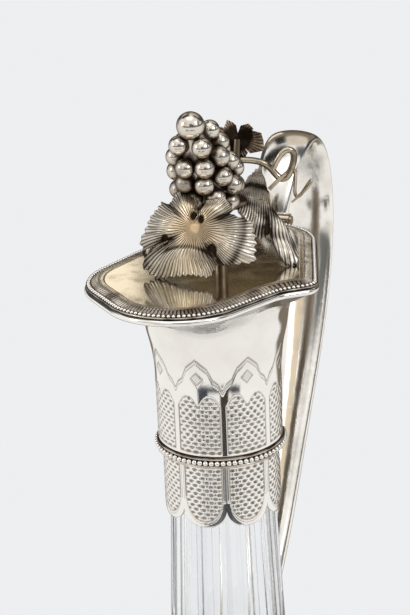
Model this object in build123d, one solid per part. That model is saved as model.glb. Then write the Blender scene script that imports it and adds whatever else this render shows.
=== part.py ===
"""Silver-mounted wine carafe with a hinged lid, in millimetres.

The jug's axis is Z and it stands on Z = 0. The spout points along -X and the handle
along +X. Glass, collar, hinge and handle are symmetric about the XZ plane; the mouth's
outline and the vine on the lid aren't. A cut-glass body carries a silver collar with a
wide shield-shaped mouth, and the lid turns on a pin behind that mouth.

Mouth, lid, hinge and vine are drawn in the flat seat frame: x towards the handle, z above
the seat. The seat is tilted a little, so that the spout side stands higher.
"""
from build123d import *
from math import acos, atan2, cos, hypot, pi, radians, sin, tan
import os

# Panels round the collar and flutes round the glass
PANELS = 8
PANEL_ANGLE = 360 / PANELS

# Heights above the table: the neck band, the beaded ring, and the lid's seat above the ring
BAND_HEIGHT = 104.5
RING_HEIGHT = 190.0
SEAT_RISE = 54.5
SEAT_HEIGHT = RING_HEIGHT + SEAT_RISE
SEAT_TILT = 1.7

# Glass body, from the table up
BASE_RADIUS = 42.0
BASE_EDGE = 2.5
BASE_THICKNESS = 9.0
BELLY_RADIUS = 52.0
BELLY_HEIGHT = 44.0
SHOULDER_RADIUS = 25.0
SHOULDER_DROP = 12.0
NECK_FOOT_RADIUS = 19.4
NECK_FOOT_DROP = 5.5
NECK_FOOT_HEIGHT = BAND_HEIGHT - NECK_FOOT_DROP
SHOULDER_HEIGHT = NECK_FOOT_HEIGHT - SHOULDER_DROP
NECK_RADIUS = 16.0
NECK_TAPER_DROP = 12.0
NECK_TAPER_TOP = RING_HEIGHT - NECK_TAPER_DROP
NECK_RISE = 24.0
NECK_TOP = RING_HEIGHT + NECK_RISE
GLASS_WALL = 4.2
RIB_ANGLE = 6.0
FLUTE_CUTTER = 30.0
THUMB_CUTS = 16
THUMB_CUTTER = 16.0
THUMB_DEPTH = 2.0

# Beaded ring round the collar
RING_BEADS = 70
RING_BEAD_RADIUS = 0.82
RING_BAND_DEPTH = 3.6
RING_BAND_WALL = 1.2
RING_WIRE_RADIUS = 0.6

# Collar: scalloped skirt below the ring, sleeve and flare above it
SILVER_WALL = 0.9
SKIRT_RADIUS = 18.0
SKIRT_TUCK = 6.0
CUSP_DROP = 15.8
LOBE_DROP = 22.2
LOBE_ARC_WIDTH = 0.42
LOBE_ARC_RISE = 0.32
SOLDER_GAP = 0.3
SLEEVE_RADIUS = SKIRT_RADIUS + SOLDER_GAP + SILVER_WALL
SLEEVE_BEND_DROP = 32.7
FLARE_FOOT_RADIUS = 20.9
FLARE_DEPTH = 17.0
FLARE_CURVE = 3.2
FLARE_INSET = 1.2
FLARE_STEP = 0.1
FLARE_POINTS = 80
PLASTER_DROP = 11.0
PLASTER_FOOT = RING_HEIGHT - PLASTER_DROP

# Plain moulding round the mouth
RIM_DEPTH = 2.0
RIM_WIDTH = 3.4
RIM_ROUND = 0.9

# Outline of the mouth: a belt round circles (x, y, radius), in order round the mouth.
# A negative radius is a hollow curve, with its centre outside the mouth.
BACK_END = 50.0
BACK_ARC = 23.5
MOUTH_CIRCLES = [
    (-15.8, 9.7, 23.5),
    (-27.0, 1.4, 21.4),
    (-24.8, -35.8, -11.7),
    (-7.8, -28.2, 6.2),
    (BACK_END - BACK_ARC, 0.0, BACK_ARC),
]

# Lid
LID_GAP = 0.3
BORDER_INSET = 0.45
BORDER_FOOT = 0.35
SLOPE_INSET = 4.3
PLATE_INSET = 6.0
BORDER_CREST = 1.7
PLATE_THICKNESS = 1.2
PLATE_SINK = 0.15
LIP_RADIUS = 17.5
LIP_WALL = 1.1
LIP_DROP = 2.0
LID_BEAD_RADIUS = 0.58
LID_BEAD_PITCH = 1.4
LID_BEAD_INSET = 1.3
LID_BEAD_HEIGHT = 0.95

# Hinge
PIN_RADIUS = 1.0
PIN_CLEARANCE = 0.06
PIN_HEAD_RADIUS = 1.5
PIN_HEAD_LENGTH = 0.7
KNUCKLE_RADIUS = 2.2
LID_KNUCKLE_LENGTH = 6.4
FIXED_KNUCKLE_LENGTH = 4.2
KNUCKLE_GAP = 0.3
HINGE_SET_BACK = 2.7
HINGE_RISE = 0.9
HINGE_LEAF = 1.0
BRACKET_DROP = 4.2
BRACKET_CLEARANCE = 0.5

# Handle: centre line (x, height above the band), half width across the jug, half thickness.
# The heights are drawn for a seat this far above the band, and stretch with that span.
HANDLE_SPAN = 140.0
HANDLE_STATIONS = [
    (57.0, 132.0, 5.0, 2.8),
    (58.2, 138.5, 5.3, 2.8),
    (61.2, 145.5, 6.0, 2.8),
    (66.4, 151.7, 6.8, 2.8),
    (75.0, 156.7, 7.5, 2.8),
    (86.0, 157.3, 7.9, 2.8),
    (95.8, 150.5, 8.1, 2.8),
    (101.5, 138.5, 8.2, 2.9),
    (102.8, 123.5, 8.2, 3.0),
    (97.0, 101.5, 8.0, 3.1),
    (88.5, 82.5, 7.3, 3.2),
    (73.0, 55.5, 6.0, 3.2),
    (60.0, 34.0, 5.0, 3.2),
    (47.0, 17.0, 4.3, 3.1),
    (34.5, 5.5, 4.0, 3.0),
    (23.5, 0.5, 4.0, 3.0),
]
SOCKET_HALF_WIDTH = 6.2
SOCKET_START = 40.0
SOCKET_END = 61.0
SOCKET_DEPTH = 10.5
SOCKET_HEEL_DEPTH = 3.675
SOCKET_HEEL_LENGTH = 4.0
SOCKET_SOLE_LENGTH = 14.0
SOCKET_SOLE_RISE = 0.8
SOCKET_TOE_DEPTH = 2.4

# Lower neck band that holds the handle's foot
BAND_DEPTH = 12.0
BAND_WALL = 1.2
BAND_CLEARANCE = 0.1
BAND_BEAD = 1.0
BOSS_RADIUS = 5.6
BOSS_REACH = 6.0

# Vine finial: stem and its fixing through the lid
STEM_X = 6.0
STEM_RADIUS = 2.1
STEM_TOP = 20.5
STEM_FOOT_RADIUS = 4.0
STEM_FOOT_HEIGHT = 1.2
STUD_RADIUS = 1.5
STUD_LENGTH = 7.0
STUD_CLEARANCE = 0.1
NUT_ACROSS = 5.5
NUT_HEIGHT = 2.0
WASHER_RADIUS = 3.6
WASHER_THICKNESS = 0.5

# Bunch of grapes, leaning towards the spout from its tip at the top
BUNCH_TIP_X = -17.0
BUNCH_TIP_Z = 48.0
BUNCH_LEAN = 34.0
TIP_GRAPE_RADIUS = 4.05
TIP_GRAPE_DROP = 0.9
GRAPE_RADIUS = 2.9
CORE_RADIUS = 6.6
CORE_START = 2.0
CORE_LENGTH = 28.0
# Each tier: distance down the bunch and ring radius, then its count and first angle
TIERS = {
    "grape_tier_1": (5.8, 5.0),
    "grape_tier_2": (12.0, 6.8),
    "grape_tier_3": (17.6, 7.8),
    "grape_tier_4": (23.0, 8.6),
    "grape_tier_5": (28.8, 7.4),
}
TIER_COUNTS = {
    "grape_tier_1": 4,
    "grape_tier_2": 7,
    "grape_tier_3": 8,
    "grape_tier_4": 8,
    "grape_tier_5": 7,
}
TIER_ANGLES = {
    "grape_tier_1": 41,
    "grape_tier_2": 4,
    "grape_tier_3": 18,
    "grape_tier_4": 33,
    "grape_tier_5": 39,
}

# Vine leaves: outlines as (direction, reach) round the leaf's centre, seen from its face
LEAF_SHEET = 0.9
LEAF_DOME = 45.0
SIDE_LEAF_DOME = 60.0
BACK_LEAF_DOME = 30.0
BACK_LEAF_SCALE = 0.45
BROAD_LEAF = [
    (88, 3.0),
    (99, 8.5),
    (110, 11.0),
    (122, 14.0),
    (145, 11.4),
    (150, 14.2),
    (172, 16.2),
    (194, 19.7),
    (203, 19.0),
    (205, 8.5),
    (208, 17.5),
    (213, 22.0),
    (231, 20.3),
    (263, 13.7),
    (287, 14.6),
    (304, 12.0),
    (306, 7.3),
    (310, 13.2),
    (334, 19.2),
    (353, 17.1),
    (372, 15.8),
    (388, 10.6),
    (391, 12.0),
    (414, 11.8),
    (437, 8.4),
]
HANGING_LEAF = [
    (72, 17.5),
    (65, 20.0),
    (61, 10.8),
    (39, 4.5),
    (300, 3.6),
    (292, 7.3),
    (289, 12.0),
    (287, 15.6),
    (283, 19.1),
    (278, 22.0),
    (272, 22.6),
    (268, 21.4),
    (263, 18.4),
    (259, 14.6),
    (257, 11.6),
    (253, 12.3),
    (243, 13.6),
    (236, 12.7),
    (228, 9.6),
    (211, 7.3),
    (184, 6.5),
    (150, 6.4),
    (106, 8.2),
    (83, 13.4),
]

# Centres of the leaves in the seat frame, and how far each is pitched back
FRONT_LEAF_PLACE = (-19.5, -1.4, 18.4)
FRONT_LEAF_PITCH_ANGLE = 20
SIDE_LEAF_PLACE = (12.6, 11.9, 18.6)
SIDE_LEAF_PITCH_ANGLE = 58
SIDE_LEAF_TURN_ANGLE = 45
BACK_LEAF_PLACE = (15.0, -3.2, 36.5)
BACK_LEAF_PITCH_ANGLE = 10

# Branches from the stem to the leaves, and tendrils, as corners in the seat frame
BRANCH_RADIUS = 1.1
BRANCH_BEND = 3.0
BRANCHES = [
    [(STEM_X, 0, 14.0), (-19.2, -1.4, 17.6)],
    [(STEM_X, 0, 17.0), (12.8, -11.4, 17.9)],
    [(STEM_X, 0, 16.0), (12.8, 11.4, 17.9)],
    [(STEM_X, 0, 19.0), (13.5, -3.0, 26.0), (15.6, -3.0, 36.0)],
]
LOOP_RADIUS = 0.95
LOOP_BEND = 2.2
LOOP_CORNERS = [
    (14.6, -4.0, 30.0),
    (18.6, -11.2, 29.2),
    (19.8, -14.2, 23.2),
    (20.2, -17.2, 23.4),
    (20.2, -19.8, 30.8),
    (19.0, -18.6, 33.2),
    (17.6, -16.0, 32.8),
    (16.6, -13.8, 27.4),
]
COIL_RADIUS = 0.55
COIL_BEND = 0.62
COIL_CORNERS = [
    (17.6, -12.0, 20.6),
    (20.6, -17.8, 26.6),
    (21.2, -19.8, 26.4),
    (20.9, -18.4, 17.8),
    (20.9, -20.8, 17.6),
    (21.9, -23.8, 24.0),
    (21.2, -25.0, 22.4),
    (19.0, -18.6, 16.6),
]


def seat(shape):
    """Place a shape drawn in the flat seat frame on the tilted seat."""
    return Pos(0, 0, SEAT_HEIGHT) * Rot(0, SEAT_TILT, 0) * shape


def cylinder(radius, low, high, x=0.0, y=0.0):
    return Pos(x, y, low) * Cylinder(radius, high - low, align=(Align.CENTER, Align.CENTER, Align.MIN))


def cross_cylinder(radius, x, z, low, high):
    """Cylinder whose axis runs along Y from low to high."""
    return Pos(x, low, z) * Rot(-90, 0, 0) * Cylinder(
        radius, high - low, align=(Align.CENTER, Align.CENTER, Align.MIN)
    )


def mouth_wire(inset, height=0.0):
    """Outline of the mouth drawn in by inset: arcs on the circles and the tangents between."""
    circles = [(x, y, radius - inset) for x, y, radius in MOUTH_CIRCLES]
    normals = []
    for first, second in zip(circles, circles[1:] + circles[:1]):
        dx = second[0] - first[0]
        dy = second[1] - first[1]
        normals.append(atan2(dy, dx) - acos((first[2] - second[2]) / hypot(dx, dy)))
    arcs = []
    for index, (x, y, radius) in enumerate(circles):
        start = normals[index - 1]
        turn = (normals[index] - start) % (2 * pi)
        if radius < 0:
            turn -= 2 * pi
        places = []
        for share in (0, 0.5, 1):
            angle = start + share * turn
            places.append((x + radius * cos(angle), y + radius * sin(angle), height))
        arcs.append(Edge.make_three_point_arc(*places))
    edges = []
    for index, arc in enumerate(arcs):
        edges.append(arc)
        edges.append(Edge.make_line(arc @ 1, arcs[(index + 1) % len(arcs)] @ 0))
    return Wire(edges)


def mouth_slab(inset, low, high):
    return extrude(Face(mouth_wire(inset, low)), high - low, dir=(0, 0, 1))


def neck_radius(height):
    """Radius of the tapered glass neck over its ribs."""
    share = (height - NECK_FOOT_HEIGHT) / (NECK_TAPER_TOP - NECK_FOOT_HEIGHT)
    return NECK_FOOT_RADIUS + (NECK_RADIUS - NECK_FOOT_RADIUS) * min(share, 1)


def glass_profile(wall, foot):
    """Half profile of the jug's glass, drawn in by wall, from foot up to the mouth."""
    base = BASE_RADIUS - wall
    side = Spline(
        (base + BASE_EDGE, 0, foot + BASE_EDGE),
        (BELLY_RADIUS - wall, 0, BELLY_HEIGHT),
        (SHOULDER_RADIUS - wall, 0, SHOULDER_HEIGHT),
        (NECK_FOOT_RADIUS - wall, 0, NECK_FOOT_HEIGHT),
        tangents=[(0.45, 0, 1), (NECK_RADIUS - NECK_FOOT_RADIUS, 0, NECK_TAPER_TOP - NECK_FOOT_HEIGHT)],
    )
    outline = Polyline(
        side @ 1,
        (NECK_RADIUS - wall, 0, NECK_TAPER_TOP),
        (NECK_RADIUS - wall, 0, NECK_TOP),
        (0, 0, NECK_TOP),
        (0, 0, foot),
        (base, 0, foot),
        side @ 0,
    )
    return make_face([*side.edges(), *outline.edges()])


def glass_body():
    body = revolve(glass_profile(0, 0), Axis.Z)
    body -= revolve(glass_profile(GLASS_WALL, BASE_THICKNESS), Axis.Z)
    half = radians(PANEL_ANGLE / 2 - RIB_ANGLE / 2)
    flute_foot = NECK_FOOT_HEIGHT + 2
    lean = atan2(NECK_FOOT_RADIUS - NECK_RADIUS, NECK_TAPER_TOP - NECK_FOOT_HEIGHT)
    reach = neck_radius(flute_foot) * cos(half)
    reach += (FLUTE_CUTTER ** 2 - (neck_radius(flute_foot) * sin(half)) ** 2) ** 0.5
    flute = Cylinder(
        FLUTE_CUTTER,
        NECK_TAPER_TOP - flute_foot,
        align=(Align.CENTER, Align.CENTER, Align.MIN),
    )
    flute = Pos(reach, 0, flute_foot) * Rot(0, -lean * 180 / pi, 0) * flute
    thumb = Pos(BELLY_RADIUS - THUMB_DEPTH + THUMB_CUTTER, 0, BELLY_HEIGHT) * Sphere(THUMB_CUTTER)
    for index in range(PANELS):
        body -= Rot(0, 0, index * PANEL_ANGLE) * flute
    for index in range(THUMB_CUTS):
        body -= Rot(0, 0, index * 360 / THUMB_CUTS) * thumb
    return body


def collar_skirt():
    """Sleeve below the beaded ring, its lower edge cut into one round lobe per panel."""
    foot = RING_HEIGHT - LOBE_DROP
    top = RING_HEIGHT + RING_BAND_DEPTH / 2 + SKIRT_TUCK
    skirt = cylinder(SKIRT_RADIUS, foot, top) - cylinder(SKIRT_RADIUS - SILVER_WALL, foot, top)
    half = SKIRT_RADIUS * sin(radians(PANEL_ANGLE / 2))
    depth = LOBE_DROP - CUSP_DROP
    cusp = RING_HEIGHT - CUSP_DROP
    side = half * LOBE_ARC_WIDTH
    waist = foot + depth * LOBE_ARC_RISE
    gap = make_face(
        [
            Edge.make_line((0, -half, foot - 1), (0, half, foot - 1)),
            Edge.make_line((0, half, foot - 1), (0, half, foot)),
            Edge.make_three_point_arc((0, half, foot), (0, side, waist), (0, 0, cusp)),
            Edge.make_three_point_arc((0, 0, cusp), (0, -side, waist), (0, -half, foot)),
            Edge.make_line((0, -half, foot), (0, -half, foot - 1)),
        ]
    )
    cutter = extrude(gap, SKIRT_RADIUS * 2, dir=(1, 0, 0))
    for index in range(PANELS):
        skirt -= Rot(0, 0, (index + 0.5) * PANEL_ANGLE) * cutter
    return skirt


def ring_band():
    """Flat band behind the beads, with a round wire along each edge."""
    outer = SKIRT_RADIUS + RING_BAND_WALL
    low = RING_HEIGHT - RING_BAND_DEPTH / 2
    high = RING_HEIGHT + RING_BAND_DEPTH / 2
    band = cylinder(outer, low, high)
    for height in (low + RING_WIRE_RADIUS, high - RING_WIRE_RADIUS):
        band += Pos(0, 0, height) * Torus(outer, RING_WIRE_RADIUS)
    return band - cylinder(SKIRT_RADIUS, low, high)


def ring_beads():
    radius = SKIRT_RADIUS + RING_BAND_WALL + RING_BEAD_RADIUS * 0.5
    beads = []
    for index in range(RING_BEADS):
        angle = 2 * pi * index / RING_BEADS
        place = Pos(radius * cos(angle), radius * sin(angle), RING_HEIGHT)
        beads.append(place * Sphere(RING_BEAD_RADIUS))
    return Compound(children=beads)


def flare_foot():
    return SEAT_HEIGHT - RIM_DEPTH / cos(radians(SEAT_TILT)) - FLARE_DEPTH


def flare_block(foot_radius, lift):
    """Solid cove from a round foot to the mouth's outline, raised by lift at the mouth."""
    outline = mouth_wire(FLARE_INSET)
    faces = []
    for share in (0, 0.25, 0.45, 0.62, 0.76, 0.88, 1.0):
        blend = share ** FLARE_CURVE
        height = flare_foot() + share * (FLARE_DEPTH + lift)
        slope = tan(radians(share * SEAT_TILT))
        points = []
        for index in range(FLARE_POINTS):
            rim = outline.position_at(index / FLARE_POINTS)
            scale = foot_radius / hypot(rim.X, rim.Y)
            x = rim.X * (scale + blend * (1 - scale))
            y = rim.Y * (scale + blend * (1 - scale))
            points.append((x, y, height - x * slope))
        faces.append(Face(Wire(Edge.make_spline([Vector(*point) for point in points], periodic=True))))
    return loft(faces)


def collar_mouth():
    """Upper sleeve of the collar, opening in a cove to the shield-shaped mouth."""
    low = RING_HEIGHT + RING_BAND_DEPTH / 2
    bend = SEAT_HEIGHT - SLEEVE_BEND_DROP
    top = flare_foot()
    profiles = []
    for wall in (0, SILVER_WALL):
        sleeve = SLEEVE_RADIUS - wall
        foot = FLARE_FOOT_RADIUS - wall
        side = Line((sleeve, 0, low), (sleeve, 0, bend))
        curve = TangentArc((sleeve, 0, bend), (foot, 0, top), tangent=(0, 0, 1))
        rest = Polyline((foot, 0, top), (0, 0, top), (0, 0, low), (sleeve, 0, low))
        profiles.append(revolve(make_face([*side.edges(), *curve.edges(), *rest.edges()]), Axis.Z))
    outer = profiles[0] + flare_block(FLARE_FOOT_RADIUS - FLARE_STEP, 0)
    inner = profiles[1] + flare_block(FLARE_FOOT_RADIUS - FLARE_STEP - SILVER_WALL, SILVER_WALL)
    return outer - inner


def neck_plaster():
    """Plaster that beds the glass neck in the collar, in two diameters."""
    step = RING_HEIGHT + RING_BAND_DEPTH / 2 + SKIRT_TUCK
    plaster = cylinder(SKIRT_RADIUS - SILVER_WALL, PLASTER_FOOT, step)
    plaster += cylinder(SLEEVE_RADIUS - SILVER_WALL, step, NECK_TOP)
    return plaster - cylinder(NECK_RADIUS, PLASTER_FOOT, NECK_TOP)


def mouth_rim():
    slab = mouth_slab(0, -RIM_DEPTH, 0)
    slab = fillet(slab.edges().group_by(Axis.Z)[0] + slab.edges().group_by(Axis.Z)[-1], RIM_ROUND)
    return seat(slab - mouth_slab(RIM_WIDTH, -RIM_DEPTH, 0))


def hinge_x():
    return BACK_END + HINGE_SET_BACK


def hinge_bracket():
    """Block behind the rim that carries the two fixed knuckles."""
    inner = LID_KNUCKLE_LENGTH / 2 + KNUCKLE_GAP
    outer = inner + FIXED_KNUCKLE_LENGTH
    low = -BRACKET_DROP
    high = HINGE_RISE - KNUCKLE_RADIUS - BRACKET_CLEARANCE
    half_depth = KNUCKLE_RADIUS - SOLDER_GAP
    block = Pos(hinge_x(), 0, (low + high) / 2) * Box(2 * half_depth, 2 * outer, high - low)
    for side in (-1, 1):
        centre = side * (inner + outer) / 2
        lug_height = HINGE_RISE - low
        block += Pos(hinge_x(), centre, low + lug_height / 2) * Box(
            2 * half_depth, FIXED_KNUCKLE_LENGTH, lug_height
        )
        first, last = sorted((side * inner, side * outer))
        block += cross_cylinder(KNUCKLE_RADIUS, hinge_x(), HINGE_RISE, first, last)
    block -= cross_cylinder(PIN_RADIUS, hinge_x(), HINGE_RISE, -outer, outer)
    return seat(block)


def hinge_pin():
    half = LID_KNUCKLE_LENGTH / 2 + KNUCKLE_GAP + FIXED_KNUCKLE_LENGTH
    pin = cross_cylinder(PIN_RADIUS, hinge_x(), HINGE_RISE, -half, half)
    pin += cross_cylinder(PIN_HEAD_RADIUS, hinge_x(), HINGE_RISE, half, half + PIN_HEAD_LENGTH)
    pin += cross_cylinder(PIN_HEAD_RADIUS, hinge_x(), HINGE_RISE, -half - PIN_HEAD_LENGTH, -half)
    return seat(pin)


def handle_socket():
    """Silver block under the back of the mouth that takes the handle's upper end."""
    ledge = -BRACKET_DROP
    corners = [
        (SOCKET_START, -RIM_DEPTH),
        (BACK_END, -RIM_DEPTH),
        (BACK_END, ledge),
        (SOCKET_END, ledge),
        (SOCKET_END, ledge - SOCKET_HEEL_DEPTH),
        (SOCKET_END - SOCKET_HEEL_LENGTH, -SOCKET_DEPTH),
        (SOCKET_END - SOCKET_SOLE_LENGTH, SOCKET_SOLE_RISE - SOCKET_DEPTH),
        (SOCKET_START, ledge - SOCKET_TOE_DEPTH),
    ]
    outline = Polyline(*[(x, -SOCKET_HALF_WIDTH, z) for x, z in corners], close=True)
    block = extrude(make_face(outline.edges()), 2 * SOCKET_HALF_WIDTH, dir=(0, 1, 0))
    return seat(block) - flare_block(FLARE_FOOT_RADIUS - FLARE_STEP, 0)


def handle():
    """Strap handle: oval sections square to the centre line, joined by one loft."""
    stretch = (SEAT_HEIGHT - BAND_HEIGHT) / HANDLE_SPAN
    stations = [(x, BAND_HEIGHT + rise * stretch, *size) for x, rise, *size in HANDLE_STATIONS]
    sections = []
    last = len(stations) - 1
    for index, (x, height, half_width, half_thickness) in enumerate(stations):
        before = stations[max(index - 1, 0)]
        after = stations[min(index + 1, last)]
        along = Vector(after[0] - before[0], 0, after[1] - before[1])
        plane = Plane(origin=(x, 0, height), x_dir=(0, 1, 0), z_dir=along)
        sections.append(plane * Ellipse(half_width, half_thickness))
    return loft(sections)


def band_half_profile(wall, low, high):
    """Face between the jug's axis and a line that follows the glass at a distance."""
    return make_face(
        Polyline(
            (0, 0, low),
            (neck_radius(low) + wall, 0, low),
            (neck_radius(high) + wall, 0, high),
            (0, 0, high),
            close=True,
        ).edges()
    )


def neck_band():
    """Silver band round the foot of the neck, with a round wire along each edge."""
    low = BAND_HEIGHT - BAND_DEPTH / 2
    high = BAND_HEIGHT + BAND_DEPTH / 2
    band = revolve(band_half_profile(BAND_CLEARANCE + BAND_WALL, low, high), Axis.Z)
    for height in (low + BAND_BEAD, high - BAND_BEAD):
        radius = neck_radius(height) + BAND_CLEARANCE + BAND_WALL
        band += Pos(0, 0, height) * Torus(radius, BAND_BEAD)
    return band - revolve(band_half_profile(BAND_CLEARANCE, low, high), Axis.Z)


def band_boss():
    """Domed boss on the band that takes the handle's lower end."""
    start = neck_radius(BAND_HEIGHT) + BAND_CLEARANCE
    boss = Pos(start - 1, 0, BAND_HEIGHT) * Rot(0, 90, 0) * Cylinder(
        BOSS_RADIUS, BOSS_REACH + 1, align=(Align.CENTER, Align.CENTER, Align.MIN)
    )
    boss = fillet(boss.edges().sort_by(Axis.X)[-1], BOSS_RADIUS * 0.4)
    band_room = cylinder(start + BAND_WALL, BAND_HEIGHT - BAND_DEPTH, BAND_HEIGHT + BAND_DEPTH)
    return boss - band_room


def lid_border():
    """Border of the lid: a slope up to a crest, and a level strip round the plate."""
    shoulder = LID_GAP + BORDER_FOOT
    crest = LID_GAP + BORDER_CREST
    lower = Face(mouth_wire(BORDER_INSET, shoulder))
    upper = Face(mouth_wire(SLOPE_INSET, crest))
    slope = loft([lower, upper], ruled=True)
    border = mouth_slab(BORDER_INSET, LID_GAP, shoulder) + slope
    return seat(border - mouth_slab(PLATE_INSET, LID_GAP, crest))


def plate_top():
    return LID_GAP + BORDER_CREST - PLATE_SINK


def lid_plate():
    under = plate_top() - PLATE_THICKNESS
    plate = mouth_slab(PLATE_INSET, under, plate_top())
    return seat(plate - cylinder(STUD_RADIUS + STUD_CLEARANCE, under, plate_top(), x=STEM_X))


def lid_lip():
    """Raised ring under the plate that keeps the closed lid over the mouth."""
    under = plate_top() - PLATE_THICKNESS
    ring = cylinder(LIP_RADIUS, -LIP_DROP, under) - cylinder(LIP_RADIUS - LIP_WALL, -LIP_DROP, under)
    return seat(ring)


def lid_beads():
    path = mouth_wire(LID_BEAD_INSET, LID_BEAD_HEIGHT)
    count = int(path.length / LID_BEAD_PITCH)
    beads = []
    for index in range(count):
        place = path.position_at(index * path.length / count, position_mode=PositionMode.LENGTH)
        behind_knuckle = place.X > 0 and abs(place.Y) < LID_KNUCKLE_LENGTH / 2 + LID_BEAD_RADIUS
        if not behind_knuckle:
            beads.append(seat(Pos(*place) * Sphere(LID_BEAD_RADIUS)))
    return Compound(children=beads)


def lid_knuckle():
    """Middle knuckle of the hinge and the leaf that joins it to the border."""
    half = LID_KNUCKLE_LENGTH / 2
    low = LID_GAP
    reach = hinge_x() - (BACK_END - LID_BEAD_INSET - 1.5)
    leaf = Pos(hinge_x() - reach / 2, 0, low + HINGE_LEAF / 2) * Box(reach, LID_KNUCKLE_LENGTH, HINGE_LEAF)
    knuckle = leaf + cross_cylinder(KNUCKLE_RADIUS, hinge_x(), HINGE_RISE, -half, half)
    knuckle -= cross_cylinder(PIN_RADIUS + PIN_CLEARANCE, hinge_x(), HINGE_RISE, -half, half)
    knuckle -= mouth_slab(BORDER_INSET, -1, low + BORDER_FOOT)
    return seat(knuckle) - lid_border()


def bent_wire(points, bend, radius):
    """Round wire along straight runs joined by tangent arcs."""
    path = FilletPolyline(*points, radius=bend) if len(points) > 2 else Polyline(*points)
    start = Plane(origin=path @ 0, z_dir=path % 0)
    return sweep(start * Circle(radius), path=path)


def vine_stem():
    """Stem on a round foot, with a branch to each leaf."""
    low = plate_top()
    foot = cylinder(STEM_FOOT_RADIUS, low, low + STEM_FOOT_HEIGHT, x=STEM_X)
    foot = fillet(foot.edges().sort_by(Axis.Z)[-1], STEM_FOOT_HEIGHT * 0.6)
    stem = foot + cylinder(STEM_RADIUS, low, STEM_TOP, x=STEM_X)
    stem += Pos(STEM_X, 0, STEM_TOP) * Sphere(STEM_RADIUS)
    for corners in BRANCHES:
        stem += bent_wire(corners, BRANCH_BEND, BRANCH_RADIUS)
    return seat(stem)


def finial_stud():
    return seat(cylinder(STUD_RADIUS, plate_top() - STUD_LENGTH, plate_top(), x=STEM_X))


def finial_nut():
    """Washer and hexagon nut that hold the vine from under the lid."""
    under = plate_top() - PLATE_THICKNESS
    washer = cylinder(WASHER_RADIUS, under - WASHER_THICKNESS, under, x=STEM_X)
    washer -= cylinder(STUD_RADIUS, under - WASHER_THICKNESS, under, x=STEM_X)
    nut_top = under - WASHER_THICKNESS
    nut = extrude(
        Pos(STEM_X, 0, nut_top - NUT_HEIGHT) * RegularPolygon(NUT_ACROSS / 2, 6, major_radius=False),
        NUT_HEIGHT,
    )
    nut -= cylinder(STUD_RADIUS, nut_top - NUT_HEIGHT, nut_top, x=STEM_X)
    return seat(washer), seat(nut)


def bunch(shape):
    """Place a shape drawn with the bunch's tip at the origin and its length along -Z."""
    return seat(Pos(BUNCH_TIP_X, 0, BUNCH_TIP_Z) * Rot(0, -BUNCH_LEAN, 0) * shape)


def grape_tier(drop, ring_radius, count, first_angle):
    grapes = []
    for index in range(count):
        angle = radians(first_angle + index * 360 / count)
        place = Pos(ring_radius * cos(angle), ring_radius * sin(angle), -drop)
        grapes.append(bunch(place * Sphere(GRAPE_RADIUS)))
    return Compound(children=grapes)


def grape_core():
    """Tapered core that the grapes are soldered to."""
    half = CORE_LENGTH / 2
    middle = -(CORE_START + half)
    side = Spline(
        (0, 0, middle + half),
        (CORE_RADIUS * 0.6, 0, middle + half * 0.55),
        (CORE_RADIUS, 0, middle - half * 0.4),
        (0, 0, middle - half),
        tangents=[(1, 0, -0.2), (-1, 0, -0.2)],
    )
    return bunch(revolve(make_face([*side.edges(), Edge.make_line(side @ 1, side @ 0)]), Axis.Z))


def leaf(edge, dome):
    """Leaf cut from a domed sheet: centre at the origin, its face along +Z."""
    corners = [(reach * cos(radians(turn)), reach * sin(radians(turn))) for turn, reach in edge]
    outline = make_face(Polyline(*corners, close=True).edges())
    sheet = Sphere(dome) - Sphere(dome - LEAF_SHEET)
    return extrude(outline, dome / 2, both=True) & (Pos(0, 0, -dome) * sheet)


def standing_leaf(edge, dome, place, pitch, turn):
    """Leaf in the seat frame: turned about Z from facing the spout, then pitched back."""
    facing = Pos(*place) * Rot(0, 0, turn) * Rot(0, pitch, 0) * Rot(0, -90, 0) * Rot(0, 0, -90)
    return seat(facing * leaf(edge, dome))


def leaves():
    """Broad front leaf, two side leaves that mirror each other, and a small back leaf."""
    x, y, z = SIDE_LEAF_PLACE
    mirrored = [(180 - turn, reach) for turn, reach in HANGING_LEAF]
    small = [(turn, reach * BACK_LEAF_SCALE) for turn, reach in BROAD_LEAF]
    pitch = SIDE_LEAF_PITCH_ANGLE
    return {
        "leaf_front": standing_leaf(BROAD_LEAF, LEAF_DOME, FRONT_LEAF_PLACE, FRONT_LEAF_PITCH_ANGLE, 0),
        "leaf_near": standing_leaf(HANGING_LEAF, SIDE_LEAF_DOME, (x, -y, z), pitch, SIDE_LEAF_TURN_ANGLE),
        "leaf_far": standing_leaf(mirrored, SIDE_LEAF_DOME, (x, y, z), pitch, -SIDE_LEAF_TURN_ANGLE),
        "leaf_back": standing_leaf(small, BACK_LEAF_DOME, BACK_LEAF_PLACE, BACK_LEAF_PITCH_ANGLE, 10),
    }


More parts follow.
